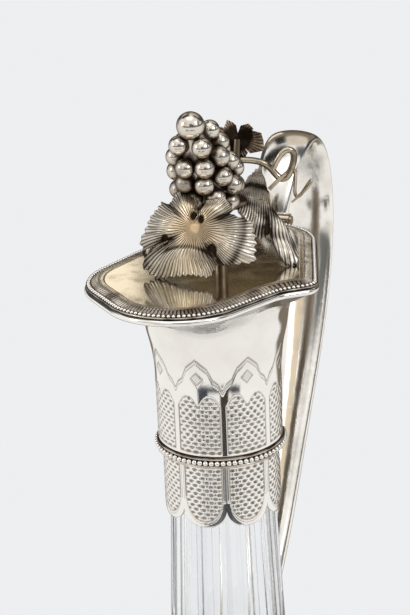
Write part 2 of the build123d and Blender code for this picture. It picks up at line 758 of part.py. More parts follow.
def build_parts():
    washer, nut = finial_nut()
    parts = {
        "glass_body": glass_body(),
        "neck_plaster": neck_plaster(),
        "collar_skirt": collar_skirt(),
        "ring_band": ring_band(),
        "ring_beads": ring_beads(),
        "collar_mouth": collar_mouth(),
        "mouth_rim": mouth_rim(),
        "hinge_bracket": hinge_bracket(),
        "hinge_pin": hinge_pin(),
        "handle_socket": handle_socket(),
        "handle": handle(),
        "neck_band": neck_band(),
        "band_boss": band_boss(),
        "lid_border": lid_border(),
        "lid_beads": lid_beads(),
        "lid_plate": lid_plate(),
        "lid_lip": lid_lip(),
        "lid_knuckle": lid_knuckle(),
        "finial_stud": finial_stud(),
        "finial_washer": washer,
        "finial_nut": nut,
        "vine_stem": vine_stem(),
        "grape_core": grape_core(),
        "grape_tip": bunch(Pos(0, 0, -TIP_GRAPE_DROP) * Sphere(TIP_GRAPE_RADIUS)),
        "tendril_loop": seat(bent_wire(LOOP_CORNERS, LOOP_BEND, LOOP_RADIUS)),
        "tendril_coil": seat(bent_wire(COIL_CORNERS, COIL_BEND, COIL_RADIUS)),
        **leaves(),
    }
    for name, tier in TIERS.items():
        parts[name] = grape_tier(*tier, TIER_COUNTS[name], TIER_ANGLES[name])
    return parts


os.makedirs("parts", exist_ok=True)
for node, shape in build_parts().items():
    export_step(shape, f"parts/{node}.step")
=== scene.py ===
"""Silver-mounted wine carafe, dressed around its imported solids. The scene's unit is the
metre; shapes are worked out in millimetres and divided by 1000 as they go into a mesh."""

import bpy
import numpy as np
from mathutils import Matrix, Vector


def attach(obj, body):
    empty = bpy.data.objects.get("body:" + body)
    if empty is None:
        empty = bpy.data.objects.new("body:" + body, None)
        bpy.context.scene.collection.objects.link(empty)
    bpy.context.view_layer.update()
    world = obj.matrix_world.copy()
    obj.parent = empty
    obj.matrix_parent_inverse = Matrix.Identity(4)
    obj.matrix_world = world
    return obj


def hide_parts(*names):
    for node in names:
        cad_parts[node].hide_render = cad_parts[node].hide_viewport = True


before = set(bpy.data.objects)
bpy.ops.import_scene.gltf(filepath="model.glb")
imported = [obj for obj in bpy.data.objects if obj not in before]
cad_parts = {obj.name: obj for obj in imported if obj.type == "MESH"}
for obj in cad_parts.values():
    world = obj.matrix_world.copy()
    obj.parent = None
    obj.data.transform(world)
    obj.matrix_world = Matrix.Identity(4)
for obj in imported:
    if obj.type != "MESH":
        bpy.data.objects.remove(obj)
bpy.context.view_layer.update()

# Camera and studio
# A long lens on the spout's side looks a little down on the lid. Its place and turn come
# from the ring of beads, the eight panels and the outlines in the photograph.
across = Vector((0.33545, -0.94206, 0.0))
away = Vector((0.94206, 0.33545, 0.0))
camera_place = (-0.47624, -0.16958, 0.41913)
camera_yaw, camera_pitch, camera_roll = -0.0063751, 0.3536667, -0.0422024
sensor_width, focal_pixels, picture_height = 36.0, 1800.0, 615.0
level = across * np.cos(camera_yaw) - away * np.sin(camera_yaw)
heading = across * np.sin(camera_yaw) + away * np.cos(camera_yaw)
gaze = heading * np.cos(camera_pitch) - Vector((0, 0, 1)) * np.sin(camera_pitch)
upward = level.cross(gaze)
right_hand = level * np.cos(camera_roll) + upward * np.sin(camera_roll)
head_up = upward * np.cos(camera_roll) - level * np.sin(camera_roll)

lens = bpy.data.cameras.new("camera")
lens.sensor_width = sensor_width
lens.lens = sensor_width * focal_pixels / picture_height
lens.clip_start = 0.01
camera = bpy.data.objects.new("camera", lens)
turn = Matrix((right_hand, head_up, -gaze)).transposed().to_4x4()
camera.matrix_world = Matrix.Translation(camera_place) @ turn
bpy.context.collection.objects.link(camera)
bpy.context.scene.camera = camera
bpy.context.scene.view_settings.view_transform = "Standard"


def socket(tree, value, into):
    """Link a node's output, or write a plain number, vector or colour, into a socket."""
    if isinstance(value, bpy.types.NodeSocket):
        tree.links.new(value, into)
    else:
        into.default_value = value


def math_node(tree, operation, first, second=0.0, clamp=False):
    node = tree.nodes.new("ShaderNodeMath")
    node.operation = operation
    node.use_clamp = clamp
    socket(tree, first, node.inputs[0])
    socket(tree, second, node.inputs[1])
    return node.outputs[0]


def ramp_node(tree, value, low, high, low_out=0.0, high_out=1.0):
    """Smooth step of value from low to high."""
    node = tree.nodes.new("ShaderNodeMapRange")
    node.interpolation_type = "SMOOTHSTEP"
    socket(tree, value, node.inputs["Value"])
    socket(tree, low, node.inputs["From Min"])
    socket(tree, high, node.inputs["From Max"])
    socket(tree, low_out, node.inputs["To Min"])
    socket(tree, high_out, node.inputs["To Max"])
    return node.outputs["Result"]


def blend_node(tree, share, first, second):
    node = tree.nodes.new("ShaderNodeMix")
    node.data_type = "RGBA"
    socket(tree, share, node.inputs[0])
    socket(tree, first, node.inputs[6])
    socket(tree, second, node.inputs[7])
    return node.outputs[2]


def slab(tree, value, low, high, soft):
    """One between low and high, with soft edges."""
    rise = ramp_node(tree, value, low - soft, low + soft)
    fall = ramp_node(tree, value, high - soft, high + soft, 1.0, 0.0)
    return math_node(tree, "MULTIPLY", rise, fall)


# A white tent stands round the jug. The dark room shows behind it and over it, and in
# front the camera and its stand, which silver needs to show its form.
world = bpy.data.worlds.new("tent")
bpy.context.scene.world = world
world.use_nodes = True
tree = world.node_tree
direction = tree.nodes.new("ShaderNodeTexCoord").outputs["Generated"]


def along(tree, axis):
    node = tree.nodes.new("ShaderNodeVectorMath")
    node.operation = "DOT_PRODUCT"
    tree.links.new(direction, node.inputs[0])
    node.inputs[1].default_value = axis
    return node.outputs["Value"]


side = along(tree, across)
toward = along(tree, -away)
height = along(tree, (0, 0, 1))
low_white, high_white, backdrop = (0.84, 0.82, 0.79, 1), (0.92, 0.915, 0.90, 1), (0.855, 0.860, 0.875, 1)
tent = blend_node(tree, ramp_node(tree, height, -0.9, -0.2), low_white, high_white)

# Each patch has a range across, a range up, a range towards the camera, the softness of
# its edges and a colour. Where two meet, the later one covers the earlier.
patches = {
    "room far round": ((-0.80, 0.95), (0.02, 0.56), (-0.95, -0.35), 0.05, (0.055, 0.055, 0.055, 1)),
    "room behind": ((-0.42, 0.66), (-0.80, 0.60), (-1.20, -0.50), 0.06, (0.20, 0.17, 0.13, 1)),
    "opening over left": ((-0.72, -0.04), (0.60, 0.98), (-0.52, -0.10), 0.04, (0.008, 0.007, 0.006, 1)),
    "opening behind left": ((-0.24, -0.03), (0.52, 0.80), (-0.85, -0.50), 0.03, (0.008, 0.007, 0.006, 1)),
    "ceiling behind": ((-0.02, 0.60), (0.55, 0.90), (-0.85, -0.45), 0.05, (0.66, 0.59, 0.49, 1)),
    "opening over right": ((0.22, 0.92), (0.40, 0.93), (-0.38, -0.04), 0.04, (0.062, 0.074, 0.082, 1)),
    "opening on the right": ((0.72, 0.92), (0.10, 0.45), (-0.36, 0.00), 0.04, (0.062, 0.074, 0.082, 1)),
    "skirting": ((-0.90, 1.20), (-0.03, 0.14), (-1.20, 1.20), 0.03, (0.045, 0.048, 0.050, 1)),
    "drape on the right": ((0.60, 0.95), (-0.05, 0.58), (0.06, 0.42), 0.05, (0.12, 0.115, 0.10, 1)),
    "card on the left": ((-0.78, -0.44), (0.28, 0.62), (0.42, 0.90), 0.04, (0.76, 0.63, 0.46, 1)),
    "backdrop's dark edge": ((-0.026, 0.30), (0.20, 0.34), (-1.20, -0.80), 0.008, (0.020, 0.016, 0.012, 1)),
    "backdrop's warm foot": ((-0.026, 0.30), (0.289, 0.34), (-1.20, -0.80), 0.005, (0.26, 0.19, 0.10, 1)),
    "backdrop's pale side": ((-0.30, -0.034), (0.20, 0.34), (-1.20, -0.80), 0.006, (1.10, 1.00, 0.82, 1)),
    "camera": ((-0.16, 0.26), (0.02, 0.48), (0.60, 1.20), 0.05, (0.14, 0.145, 0.14, 1)),
    "camera's case": ((0.20, 0.46), (0.02, 0.36), (0.60, 1.20), 0.03, (0.12, 0.12, 0.115, 1)),
    "bench on the right": ((0.40, 0.76), (-0.03, 0.21), (0.50, 1.20), 0.03, (0.13, 0.13, 0.125, 1)),
    "stand": ((0.02, 0.26), (-0.485, -0.34), (0.50, 1.20), 0.020, (0.050, 0.036, 0.027, 1)),
    "stand's arms": ((-0.50, 0.48), (-0.478, -0.420), (0.40, 1.20), 0.022, (0.055, 0.060, 0.066, 1)),
    "left arm's drop": ((-0.58, -0.32), (-0.470, -0.330), (0.40, 1.20), 0.030, (0.055, 0.062, 0.072, 1)),
    "right arm's drop": ((0.34, 0.56), (-0.465, -0.400), (0.40, 1.20), 0.030, (0.060, 0.060, 0.062, 1)),
    "lamp overhead": ((-0.45, 0.30), (0.84, 1.20), (-0.02, 1.20), 0.06, (1.5, 1.5, 1.48, 1)),
}
for sides, heights, depths, soft, colour in patches.values():
    mask = math_node(tree, "MULTIPLY", slab(tree, side, *sides, soft), slab(tree, height, *heights, soft))
    mask = math_node(tree, "MULTIPLY", mask, slab(tree, toward, *depths, soft))
    tent = blend_node(tree, mask, tent, colour)

light_path = tree.nodes.new("ShaderNodeLightPath").outputs
seen = math_node(tree, "MAXIMUM", light_path["Is Camera Ray"], light_path["Is Transmission Ray"])
background = tree.nodes["Background"].inputs
tree.links.new(blend_node(tree, seen, tent, backdrop), background["Color"])
background["Strength"].default_value = 1.0


def softbox(name, place, aim, width, depth, power):
    lamp = bpy.data.lights.new(name, "AREA")
    lamp.shape = "RECTANGLE"
    lamp.size = width
    lamp.size_y = depth
    lamp.energy = power
    obj = bpy.data.objects.new(name, lamp)
    facing = (Vector(aim) - Vector(place)).to_track_quat("-Z", "Y")
    obj.matrix_world = Matrix.Translation(place) @ facing.to_matrix().to_4x4()
    bpy.context.collection.objects.link(obj)


aim = (0, 0, 0.22)
left_lamp = Vector((0, 0, 0.63)) - across * 0.93 - away * 0.30
right_lamp = (-0.30, -0.95, 0.85)
softbox("softbox_left", left_lamp, aim, 0.20, 0.32, 0.9)
softbox("softbox_right", right_lamp, aim, 0.30, 0.30, 2.0)

# Floor
# A pale round table top under the jug. It keeps the jug's shadow and fades out into the
# tent a hand's breadth from the foot.
floor_radius, floor_drop = 0.2, 0.0005
fade_start, fade_end = 0.10, 0.19


def disc(name, radius, height, rings, sides):
    """Flat disc: point (ring / rings * radius) out along each of the sides' directions."""
    out = np.linspace(0, radius, rings + 1)[1:, None]
    angle = np.linspace(0, 2 * np.pi, sides, endpoint=False)[None, :]
    points = np.stack([out * np.cos(angle), out * np.sin(angle), np.full((rings, sides), height)], axis=-1)
    points = np.concatenate([[[0, 0, height]], points.reshape(-1, 3)])
    low = 1 + np.arange((rings - 1) * sides).reshape(rings - 1, sides)
    after = np.roll(low, -1, axis=1)
    quads = np.stack([low, low + sides, after + sides, after], axis=-1).reshape(-1, 4)
    rim = 1 + np.arange(sides)
    middle = np.stack([np.zeros(sides, int), rim, np.roll(rim, -1)], axis=-1)
    faces = middle.tolist() + quads.tolist()
    mesh = bpy.data.meshes.new(name)
    mesh.from_pydata(points, [], faces)
    obj = bpy.data.objects.new(name, mesh)
    bpy.context.collection.objects.link(obj)
    return obj


def plain_material(name):
    """New material, its node tree and the inputs of its shader."""
    material = bpy.data.materials.new(name)
    material.use_nodes = True
    return material, material.node_tree, material.node_tree.nodes["Principled BSDF"].inputs


def noise_node(tree, scale, detail=2):
    """Noise on the piece's own coordinates, scale being its cells to the metre."""
    node = tree.nodes.new("ShaderNodeTexNoise")
    node.inputs["Scale"].default_value = scale
    node.inputs["Detail"].default_value = detail
    tree.links.new(tree.nodes.new("ShaderNodeTexCoord").outputs["Object"], node.inputs["Vector"])
    return node.outputs["Fac"]


floor = disc("floor", floor_radius, -floor_drop, 8, 64)
cloth, tree, shader = plain_material("table_cloth")
place = tree.nodes.new("ShaderNodeTexCoord").outputs["Object"]
length = tree.nodes.new("ShaderNodeVectorMath")
length.operation = "LENGTH"
tree.links.new(place, length.inputs[0])
fade = ramp_node(tree, length.outputs["Value"], fade_start, fade_end)
thread_colour = blend_node(tree, noise_node(tree, 900), (0.84, 0.84, 0.85, 1), (0.90, 0.90, 0.91, 1))
tree.links.new(thread_colour, shader["Base Color"])
shader["Roughness"].default_value = 0.9
tree.links.new(math_node(tree, "SUBTRACT", 1.0, fade), shader["Alpha"])
floor.data.materials.append(cloth)

# Glass body
# Heavy clear crystal, blown and cut: a round bulb with sixteen thumb cuts, and a tapered
# neck with eight broad flutes that leave narrow double-edged ribs between them.
base_radius, base_edge, base_thickness = 42.0, 2.5, 9.0
belly = (52.0, 44.0)
shoulder = (25.0, 87.0)
neck_foot = (19.4, 99.0)
neck_radius, neck_taper_top, neck_top, lip_round = 16.0, 178.0, 214.0, 0.6
glass_wall = 4.2
flute_cutter, flute_angle, rib_angle, flute_runout = 30.0, 45.0, 6.0, 7.0
thumb_cutter, thumb_depth, thumb_cuts, thumb_limit = 16.0, 2.0, 16, 80.0
foot_edge = base_edge * 0.6


def skin(name, grid, body, nodes, closed=True, marks=None):
    """Surface over a grid of points in millimetres, rows by columns.

    Columns close on themselves. Rows close too, or else the first and the last row are
    each one point. Faces are turned outwards by the sign of the volume they enclose:
    the sum over faces of corner . (edge x edge). marks are values from 0 to 1 for each
    point, kept as attributes for the materials.
    """
    rows, columns = grid.shape[:2]
    index = np.arange(rows * columns).reshape(rows, columns)
    if not closed:
        first_pole = np.zeros((1, columns), int)
        last_pole = np.full((1, columns), (rows - 2) * columns + 1)
        index = np.concatenate([first_pole, index[:-2] + 1, last_pole])
        keep = np.r_[0, np.arange(columns, (rows - 1) * columns), (rows - 1) * columns]
    else:
        keep = np.arange(rows * columns)
        index = np.concatenate([index, index[:1]])
    points = grid.reshape(-1, 3)[keep]
    low, high = index[:-1], index[1:]
    quads = np.stack([low, np.roll(low, -1, 1), np.roll(high, -1, 1), high], axis=-1)
    if closed:
        triangles = np.zeros((0, 3), int)
    else:
        triangles = np.concatenate([quads[0][:, [0, 2, 3]], quads[-1][:, [0, 1, 2]]])
        quads = quads[1:-1]
    quads = quads.reshape(-1, 4)
    fan = np.concatenate([quads[:, [0, 1, 2]], quads[:, [0, 2, 3]], triangles])
    corner = points[fan]
    volume = np.einsum("ij,ij->", corner[:, 0], np.cross(corner[:, 1], corner[:, 2]))
    if volume < 0:
        quads = quads[:, ::-1]
        triangles = triangles[:, ::-1]
    loops = np.concatenate([quads.ravel(), triangles.ravel()])
    starts = np.concatenate([np.arange(len(quads)) * 4, len(quads) * 4 + np.arange(len(triangles)) * 3])
    mesh = bpy.data.meshes.new(name)
    mesh.vertices.add(len(points))
    mesh.vertices.foreach_set("co", (points / 1000).astype(np.float32).ravel())
    mesh.loops.add(len(loops))
    mesh.loops.foreach_set("vertex_index", loops.astype(np.int32))
    mesh.polygons.add(len(starts))
    mesh.polygons.foreach_set("loop_start", starts.astype(np.int32))
    mesh.polygons.foreach_set("use_smooth", np.ones(len(starts), bool))
    for mark, values in (marks or {}).items():
        layer = mesh.attributes.new(mark, "FLOAT", "POINT")
        spread = np.broadcast_to(values, grid.shape[:2]).ravel()[keep]
        layer.data.foreach_set("value", spread.astype(np.float32))
    mesh.update(calc_edges=True)
    mesh.validate()
    obj = bpy.data.objects.new(name, mesh)
    bpy.context.collection.objects.link(obj)
    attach(obj, body)
    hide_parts(*nodes)
    return obj


def smooth(value, low, high):
    """Smooth step: 3t^2 - 2t^3 with t the share of the way from low to high."""
    share = np.clip((value - low) / (high - low), 0, 1)
    return share * share * (3 - 2 * share)


def glass_outline(wall, foot):
    """Half profile as (radius, height) rows: a smooth curve through base, belly, shoulder
    and neck foot, then the straight taper. The curve is cubic Hermite, each slope being
    the mean slope of its two neighbours, in equal steps along the knots' chords."""
    knots = np.array([
        (base_radius - wall + foot_edge, foot + base_edge),
        (belly[0] - wall, belly[1]),
        (shoulder[0] - wall, shoulder[1]),
        (neck_foot[0] - wall, neck_foot[1]),
    ])
    chord = np.r_[0, np.cumsum(np.hypot(*np.diff(knots, axis=0).T))]
    slopes = np.gradient(knots, chord, axis=0)
    slopes[0] = (0.75, 0.66)
    slopes[1] = (0.0, 0.95)
    slopes[-1] = ((neck_radius - neck_foot[0]) / (neck_taper_top - neck_foot[1]), 1.0)
    steps = np.linspace(0, chord[-1], 120)
    piece = np.clip(np.searchsorted(chord, steps, side="right") - 1, 0, 2)
    span = (chord[piece + 1] - chord[piece])[:, None]
    t = ((steps - chord[piece]) / span[:, 0])[:, None]
    curve = (2 * t**3 - 3 * t**2 + 1) * knots[piece] + (t**3 - 2 * t**2 + t) * span * slopes[piece]
    curve += (3 * t**2 - 2 * t**3) * knots[piece + 1] + (t**3 - t**2) * span * slopes[piece + 1]
    neck = np.linspace(neck_foot[1] + 1, neck_taper_top, 60)
    share = (neck - neck_foot[1]) / (neck_taper_top - neck_foot[1])
    taper = np.stack([neck_foot[0] - wall + (neck_radius - neck_foot[0]) * share, neck], axis=-1)
    return curve, taper


def neck_cut(radius, angle, height):
    """Radius left by the flutes: each is a hollow cylinder whose edge meets the rib's edge.

    The cutter's centre stands off by r cos h + sqrt(C^2 - (r sin h)^2), h being half the
    flute's angle; a ray at angle a from the flute's middle meets it at
    s cos a - sqrt(C^2 - (s sin a)^2).
    """
    flute = np.radians(flute_angle)
    half = np.radians((flute_angle - rib_angle) / 2)
    stand_off = radius * np.cos(half) + np.sqrt(flute_cutter**2 - (radius * np.sin(half)) ** 2)
    turn = (angle + flute / 2) % flute - flute / 2
    cut = stand_off * np.cos(turn) - np.sqrt(flute_cutter**2 - (stand_off * np.sin(turn)) ** 2)
    depth = smooth(height, neck_foot[1] + 1, neck_foot[1] + flute_runout)
    depth = depth * smooth(height, neck_taper_top + 3, neck_taper_top - 1)
    return np.minimum(radius, radius + (cut - radius) * depth)


angles = np.linspace(0, 2 * np.pi, 368, endpoint=False)
curve, taper = glass_outline(0, 0)
top = np.array([(neck_radius, h) for h in np.linspace(neck_taper_top + 1, neck_top - lip_round, 12)])
lip = np.array([(neck_radius - lip_round, neck_top), (neck_radius - glass_wall + lip_round, neck_top)])
foot = np.array([
    (0, 0.8),
    (base_radius * 0.5, 0.5),
    (base_radius - 2, 0.3),
    (base_radius - 1, 0.0),
    (base_radius, 0.0),
    (base_radius + 0.9, 0.8),
])
outer = np.concatenate([foot, curve, taper, top])
bore = neck_radius - glass_wall
curve, taper = glass_outline(glass_wall, base_thickness)
top = np.array([(bore, h) for h in np.linspace(neck_taper_top + 1, neck_top - lip_round, 6)])
floor_rows = np.array([
    (base_radius - glass_wall - 1.5, base_thickness + 0.6),
    (base_radius * 0.6, base_thickness),
    (0, base_thickness),
])
inner = np.concatenate([top[::-1], taper[::-4], curve[::-3], floor_rows])
profile = np.concatenate([outer, lip, inner])
radius = np.repeat(profile[:, :1], len(angles), axis=1)
height = np.repeat(profile[:, 1:], len(angles), axis=1)
outer_rows = np.arange(len(profile)) < len(outer)
cut = neck_cut(radius, angles[None, :], height)
radius = np.where(outer_rows[:, None] & (height > neck_foot[1]), cut, radius)
thumb_turn = (angles + np.pi / thumb_cuts) % (2 * np.pi / thumb_cuts) - np.pi / thumb_cuts
reach = belly[0] - thumb_depth + thumb_cutter
room = thumb_cutter**2 - (height - belly[1]) ** 2 - (reach * np.sin(thumb_turn)[None, :]) ** 2
thumb = reach * np.cos(thumb_turn)[None, :] - np.sqrt(np.clip(room, 0, None))
on_belly = outer_rows[:, None] & (room > 0) & (height < thumb_limit)
radius = np.where(on_belly, np.minimum(radius, thumb), radius)
grid = np.stack([radius * np.cos(angles), radius * np.sin(angles), height], axis=-1)
glass = skin("cut_glass_body", grid, "jug", ["glass_body"], closed=False)

crystal, tree, shader = plain_material("crystal")
shader["Transmission Weight"].default_value = 1.0
shader["IOR"].default_value = 1.52
haze = noise_node(tree, 60, 4)
tint = blend_node(tree, haze, (0.985, 0.99, 0.99, 1), (0.96, 0.97, 0.975, 1))
tree.links.new(tint, shader["Base Color"])
tree.links.new(ramp_node(tree, haze, 0.45, 0.75, 0.0, 0.03), shader["Roughness"])
glass.data.materials.append(crystal)

# Plaster
# White plaster run in between the glass neck and the silver collar, which it holds fast.
# It has shrunk a little and shows fine pores.


def bump_node(tree, height, strength, distance):
    """Normal of a surface raised by height times a distance in metres."""
    node = tree.nodes.new("ShaderNodeBump")
    node.inputs["Strength"].default_value = strength
    node.inputs["Distance"].default_value = distance
    tree.links.new(height, node.inputs["Height"])
    return node.outputs["Normal"]


plaster, tree, shader = plain_material("bedding_plaster")
pores = noise_node(tree, 700, 6)
plaster_colour = blend_node(tree, pores, (0.70, 0.67, 0.60, 1), (0.90, 0.88, 0.83, 1))
tree.links.new(plaster_colour, shader["Base Color"])
tree.links.new(bump_node(tree, pores, 1.0, 0.0002), shader["Normal"])
shader["Roughness"].default_value = 0.85


def finish_node(node, material):
    """Give a carried-over solid this material in all its slots."""
    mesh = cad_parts[node].data
    if not mesh.materials:
        mesh.materials.append(material)
    for index in range(len(mesh.materials)):
        mesh.materials[index] = material


finish_node("neck_plaster", plaster)

# Silver
# Sterling sheet and castings, polished by hand for a long time. The faces are bright and
# warm, with hairline wiping marks; brown toning stays in every hollow.


def toning_group():
    """Node group: the share of darkening is the Hollow input, which brings toning and painted
    shade, plus cloudy noise. Colour, roughness and fine height run between the bright and
    the dark metal by that share."""
    group = bpy.data.node_groups.new("toning", "ShaderNodeTree")
    for title in ("Bright", "Toned"):
        group.interface.new_socket(title, in_out="INPUT", socket_type="NodeSocketColor")
    for title in ("Hollow", "Cloud", "Smoothness"):
        group.interface.new_socket(title, in_out="INPUT", socket_type="NodeSocketFloat")
    group.interface.new_socket("Color", in_out="OUTPUT", socket_type="NodeSocketColor")
    for title in ("Roughness", "Height"):
        group.interface.new_socket(title, in_out="OUTPUT", socket_type="NodeSocketFloat")
    start = group.nodes.new("NodeGroupInput").outputs
    end = group.nodes.new("NodeGroupOutput").inputs
    wipe = noise_node(group, 2600)
    cloud = ramp_node(group, noise_node(group, 130, 5), 0.42, 0.72)
    mist = math_node(group, "MULTIPLY", cloud, start["Cloud"])
    share = math_node(group, "ADD", start["Hollow"], mist, clamp=True)
    group.links.new(blend_node(group, share, start["Bright"], start["Toned"]), end["Color"])
    rough = math_node(group, "ADD", start["Smoothness"], math_node(group, "MULTIPLY", share, 0.35))
    wiped = math_node(group, "MULTIPLY", wipe, 0.04)
    group.links.new(math_node(group, "ADD", rough, wiped), end["Roughness"])
    group.links.new(wipe, end["Height"])
    return group


toning = toning_group()


def mark_node(tree, mark):
    """Value of a mark kept with the piece's points."""
    node = tree.nodes.new("ShaderNodeAttribute")
    node.attribute_name = mark
    return node.outputs["Fac"]


def silver(name, bright, tone_and_shade, cloud, smoothness, crevice=0.0015, warm=None, rim=0.0):
    """Silver whose toning lies in the hollows: those marked on the piece, and every crevice
    narrower than the given reach in metres. On some pieces the marks carry painted shade as
    well. A warm colour takes the place of the bright one where the piece carries the warm
    mark, and rim darkens the metal where it turns away from the camera, as painted shade on
    the edges."""
    material, tree, shader = plain_material(name)
    shader["Metallic"].default_value = 1.0
    tone = tree.nodes.new("ShaderNodeGroup")
    tone.node_tree = toning
    for title, value in (("Bright", bright), ("Toned", tone_and_shade), ("Cloud", cloud), ("Smoothness", smoothness)):
        tone.inputs[title].default_value = value
    open_share = tree.nodes.new("ShaderNodeAmbientOcclusion")
    open_share.inputs["Distance"].default_value = crevice
    narrow = ramp_node(tree, open_share.outputs["AO"], 0.15, 0.85, 1.0, 0.0)
    depth = math_node(tree, "MAXIMUM", mark_node(tree, "hollow"), narrow)
    # Painted shade: the metal darkens where its face turns away from the camera.
    if rim:
        turned = tree.nodes.new("ShaderNodeLayerWeight")
        painted_edge_shade = ramp_node(tree, turned.outputs["Facing"], 0.25, 0.95, 0.0, rim)
        depth = math_node(tree, "MAXIMUM", depth, painted_edge_shade)
    tree.links.new(depth, tone.inputs["Hollow"])
    if warm:
        tree.links.new(blend_node(tree, mark_node(tree, "warm"), bright, warm), tone.inputs["Bright"])
    tree.links.new(tone.outputs["Color"], shader["Base Color"])
    tree.links.new(tone.outputs["Roughness"], shader["Roughness"])
    tree.links.new(bump_node(tree, tone.outputs["Height"], 0.25, 0.00002), shader["Normal"])
    return material


polished = silver("polished_silver", (0.96, 0.94, 0.91, 1), (0.20, 0.15, 0.10, 1), 0.06, 0.05)
chased = silver("chased_silver", (0.84, 0.77, 0.67, 1), (0.075, 0.048, 0.028, 1), 0.7, 0.18, crevice=0.002)

# Collar skirt
# The sleeve below the beaded ring, cut into eight round lobes that lie on the flutes.
# Each panel is chip-cut with rows of small lenses inside a plain border.
ring_height, band_depth, band_wall = 190.0, 3.6, 1.2
sheet, skirt_radius = 0.9, 18.0
cusp_drop, lobe_drop, tuck = 15.8, 22.2, 6.0
panel = np.pi / 4
chip_width, chip_height, chip_depth = 2.5, 1.32, 0.26
field_margin, field_soft, tip_margin, tip_round = 1.15, 0.35, 1.9, 7.6
field_line, field_line_depth = 0.28, 0.22
edge_line, edge_line_depth, edge_line_gap, edge_line_start = 0.22, 0.10, 0.75, 2.0


def chips(run, height):
    """Rows of short lens-shaped chips, each row set half a chip along from the last: depth
    is 1 - (x / half a chip)^2 - |y| / a third of a row, measured from the chip's middle."""
    row = np.floor(height / chip_height)
    up = height / chip_height - row - 0.5
    along_row = (run / chip_width + 0.5 * (row % 2)) % 1 - 0.5
    return np.clip(1.5 * (1 - (along_row / 0.47) ** 2 - np.abs(up) / 0.40), 0, 1)


def engraved(distance, width):
    """Depth of a V line at this distance from its middle."""
    return np.clip(1 - np.abs(distance) / width, 0, 1)


def sleeve_wall(rows_low, rows_high, count, angles, relief, radius, inner_radius):
    """Closed cross-section from the low edge up the outer face, over the top and down
    inside. Heights run from rows_low(angle) to rows_high in equal steps, and the outer
    face is drawn in by the relief's depth."""
    share = np.linspace(0, 1, count)[:, None]
    height = rows_low[None, :] + (rows_high - rows_low)[None, :] * share
    depth, hollow = relief(angles[None, :], height)
    face = radius - depth
    inside_share = np.linspace(1, 0, 12)[:, None]
    inside_height = rows_low[None, :] + (rows_high - rows_low)[None, :] * inside_share
    all_radius = np.concatenate([face, np.full(inside_height.shape, inner_radius)])
    all_height = np.concatenate([height, inside_height])
    marks = np.concatenate([hollow, np.full(inside_height.shape, 0.5)])
    grid = np.stack([all_radius * np.cos(angles), all_radius * np.sin(angles), all_height], axis=-1)
    return grid, marks


def panel_run(angle, radius):
    """Distance round the sleeve from the middle of the nearest panel."""
    return ((angle + panel / 2) % panel - panel / 2) * radius


def skirt_relief(angle, height):
    """Depth and toning of a skirt panel: chips inside a field with a round lower end, a
    line on the field's edge and a finer one outside it, by distance from that edge."""
    run = panel_run(angle, skirt_radius)
    half = panel / 2 * skirt_radius
    drop = ring_height - height
    field_half = half - field_margin
    across_field = np.abs(run) / field_half
    field_low = lobe_drop - tip_margin - tip_round * (1 - np.sqrt(np.clip(1 - across_field**2.0, 0, 1)))
    edge_distance = np.minimum(field_half - np.abs(run), (field_low - drop) * 0.8)
    inside = smooth(edge_distance, 0.0, field_soft)
    cut = chips(run, height) * inside
    line = engraved(edge_distance, field_line)
    rim = engraved(edge_distance + edge_line_gap, edge_line) * (drop > edge_line_start)
    depth = chip_depth * cut + field_line_depth * line + edge_line_depth * rim
    return depth, np.clip(cut * 0.95 + line * 0.9 + rim * 0.5, 0, 1)


def skirt_edge(angle):
    """Height of the lobed edge: cusps where panels meet, one round lobe to each panel."""
    share = np.abs((angle + panel / 2) % panel - panel / 2) / (panel / 2)
    lobe = lobe_drop - (lobe_drop - cusp_drop) * (1 - np.sqrt(np.clip(1 - (share * 0.985) ** 2.6, 0, 1)))
    return ring_height - lobe


def behind(grid):
    """Painted shade on the side under the handle: it grows with the cosine of the angle from
    the handle's side."""
    return 0.85 * smooth(grid[..., 0] / np.hypot(grid[..., 0], grid[..., 1]), 0.40, 0.85)


collar_angles = np.linspace(0, 2 * np.pi, 960, endpoint=False)
skirt_top = np.full(collar_angles.shape, ring_height + band_depth / 2 + tuck)
grid, marks = sleeve_wall(
    skirt_edge(collar_angles), skirt_top, 88, collar_angles,
    skirt_relief, skirt_radius, skirt_radius - sheet,
)
# The side under the handle gets painted shade.
marks = np.maximum(marks, behind(grid))
skirt = skin("skirt_lobes", grid, "jug", ["collar_skirt"], marks={"hollow": marks})
skirt.data.materials.append(polished)

# Beaded ring
# A drawn band with a wire along each edge, soldered over the joint of skirt and sleeve.
# The seventy beads were cast as one strip and stand in the channel between the wires.
band_face = skirt_radius + band_wall
low_wire, high_wire, wire_height, toned_from = 0.55, 0.50, 1.25, 1.2


def ring_profile():
    """Cross-section as (radius, height): half circles for the two wires, and upright faces
    between them behind the beads and on the inside."""
    turn = np.linspace(-np.pi / 2, np.pi / 2, 9)
    arc = np.stack([np.cos(turn), np.sin(turn)], axis=-1)
    low = np.array([band_face, ring_height - wire_height]) + low_wire * arc
    high = np.array([band_face, ring_height + wire_height]) + high_wire * arc
    face = np.array([(band_face, ring_height - 0.6), (band_face, ring_height + 0.6)])
    inside = np.array([(skirt_radius + 0.02, ring_height + 1.8), (skirt_radius + 0.02, ring_height - 1.8)])
    return np.concatenate([low, face, high, inside])


profile = ring_profile()
turns = np.linspace(0, 2 * np.pi, 300, endpoint=False)
grid = np.stack([
    profile[:, :1] * np.cos(turns),
    profile[:, :1] * np.sin(turns),
    np.repeat(profile[:, 1:], len(turns), axis=1),
], axis=-1)
behind_beads = np.clip(1 - (profile[:, 0] - band_face) / 0.3, 0, 1)
upper_wire = 0.8 * smooth(profile[:, 1], ring_height + toned_from, ring_height + toned_from + 0.4)
behind_beads = np.maximum(behind_beads, upper_wire)[:, None]
ring = skin("ring_band_wires", grid, "jug", ["ring_band"], marks={"hollow": behind_beads})
ring.data.materials.append(chased)
finish_node("ring_beads", polished)

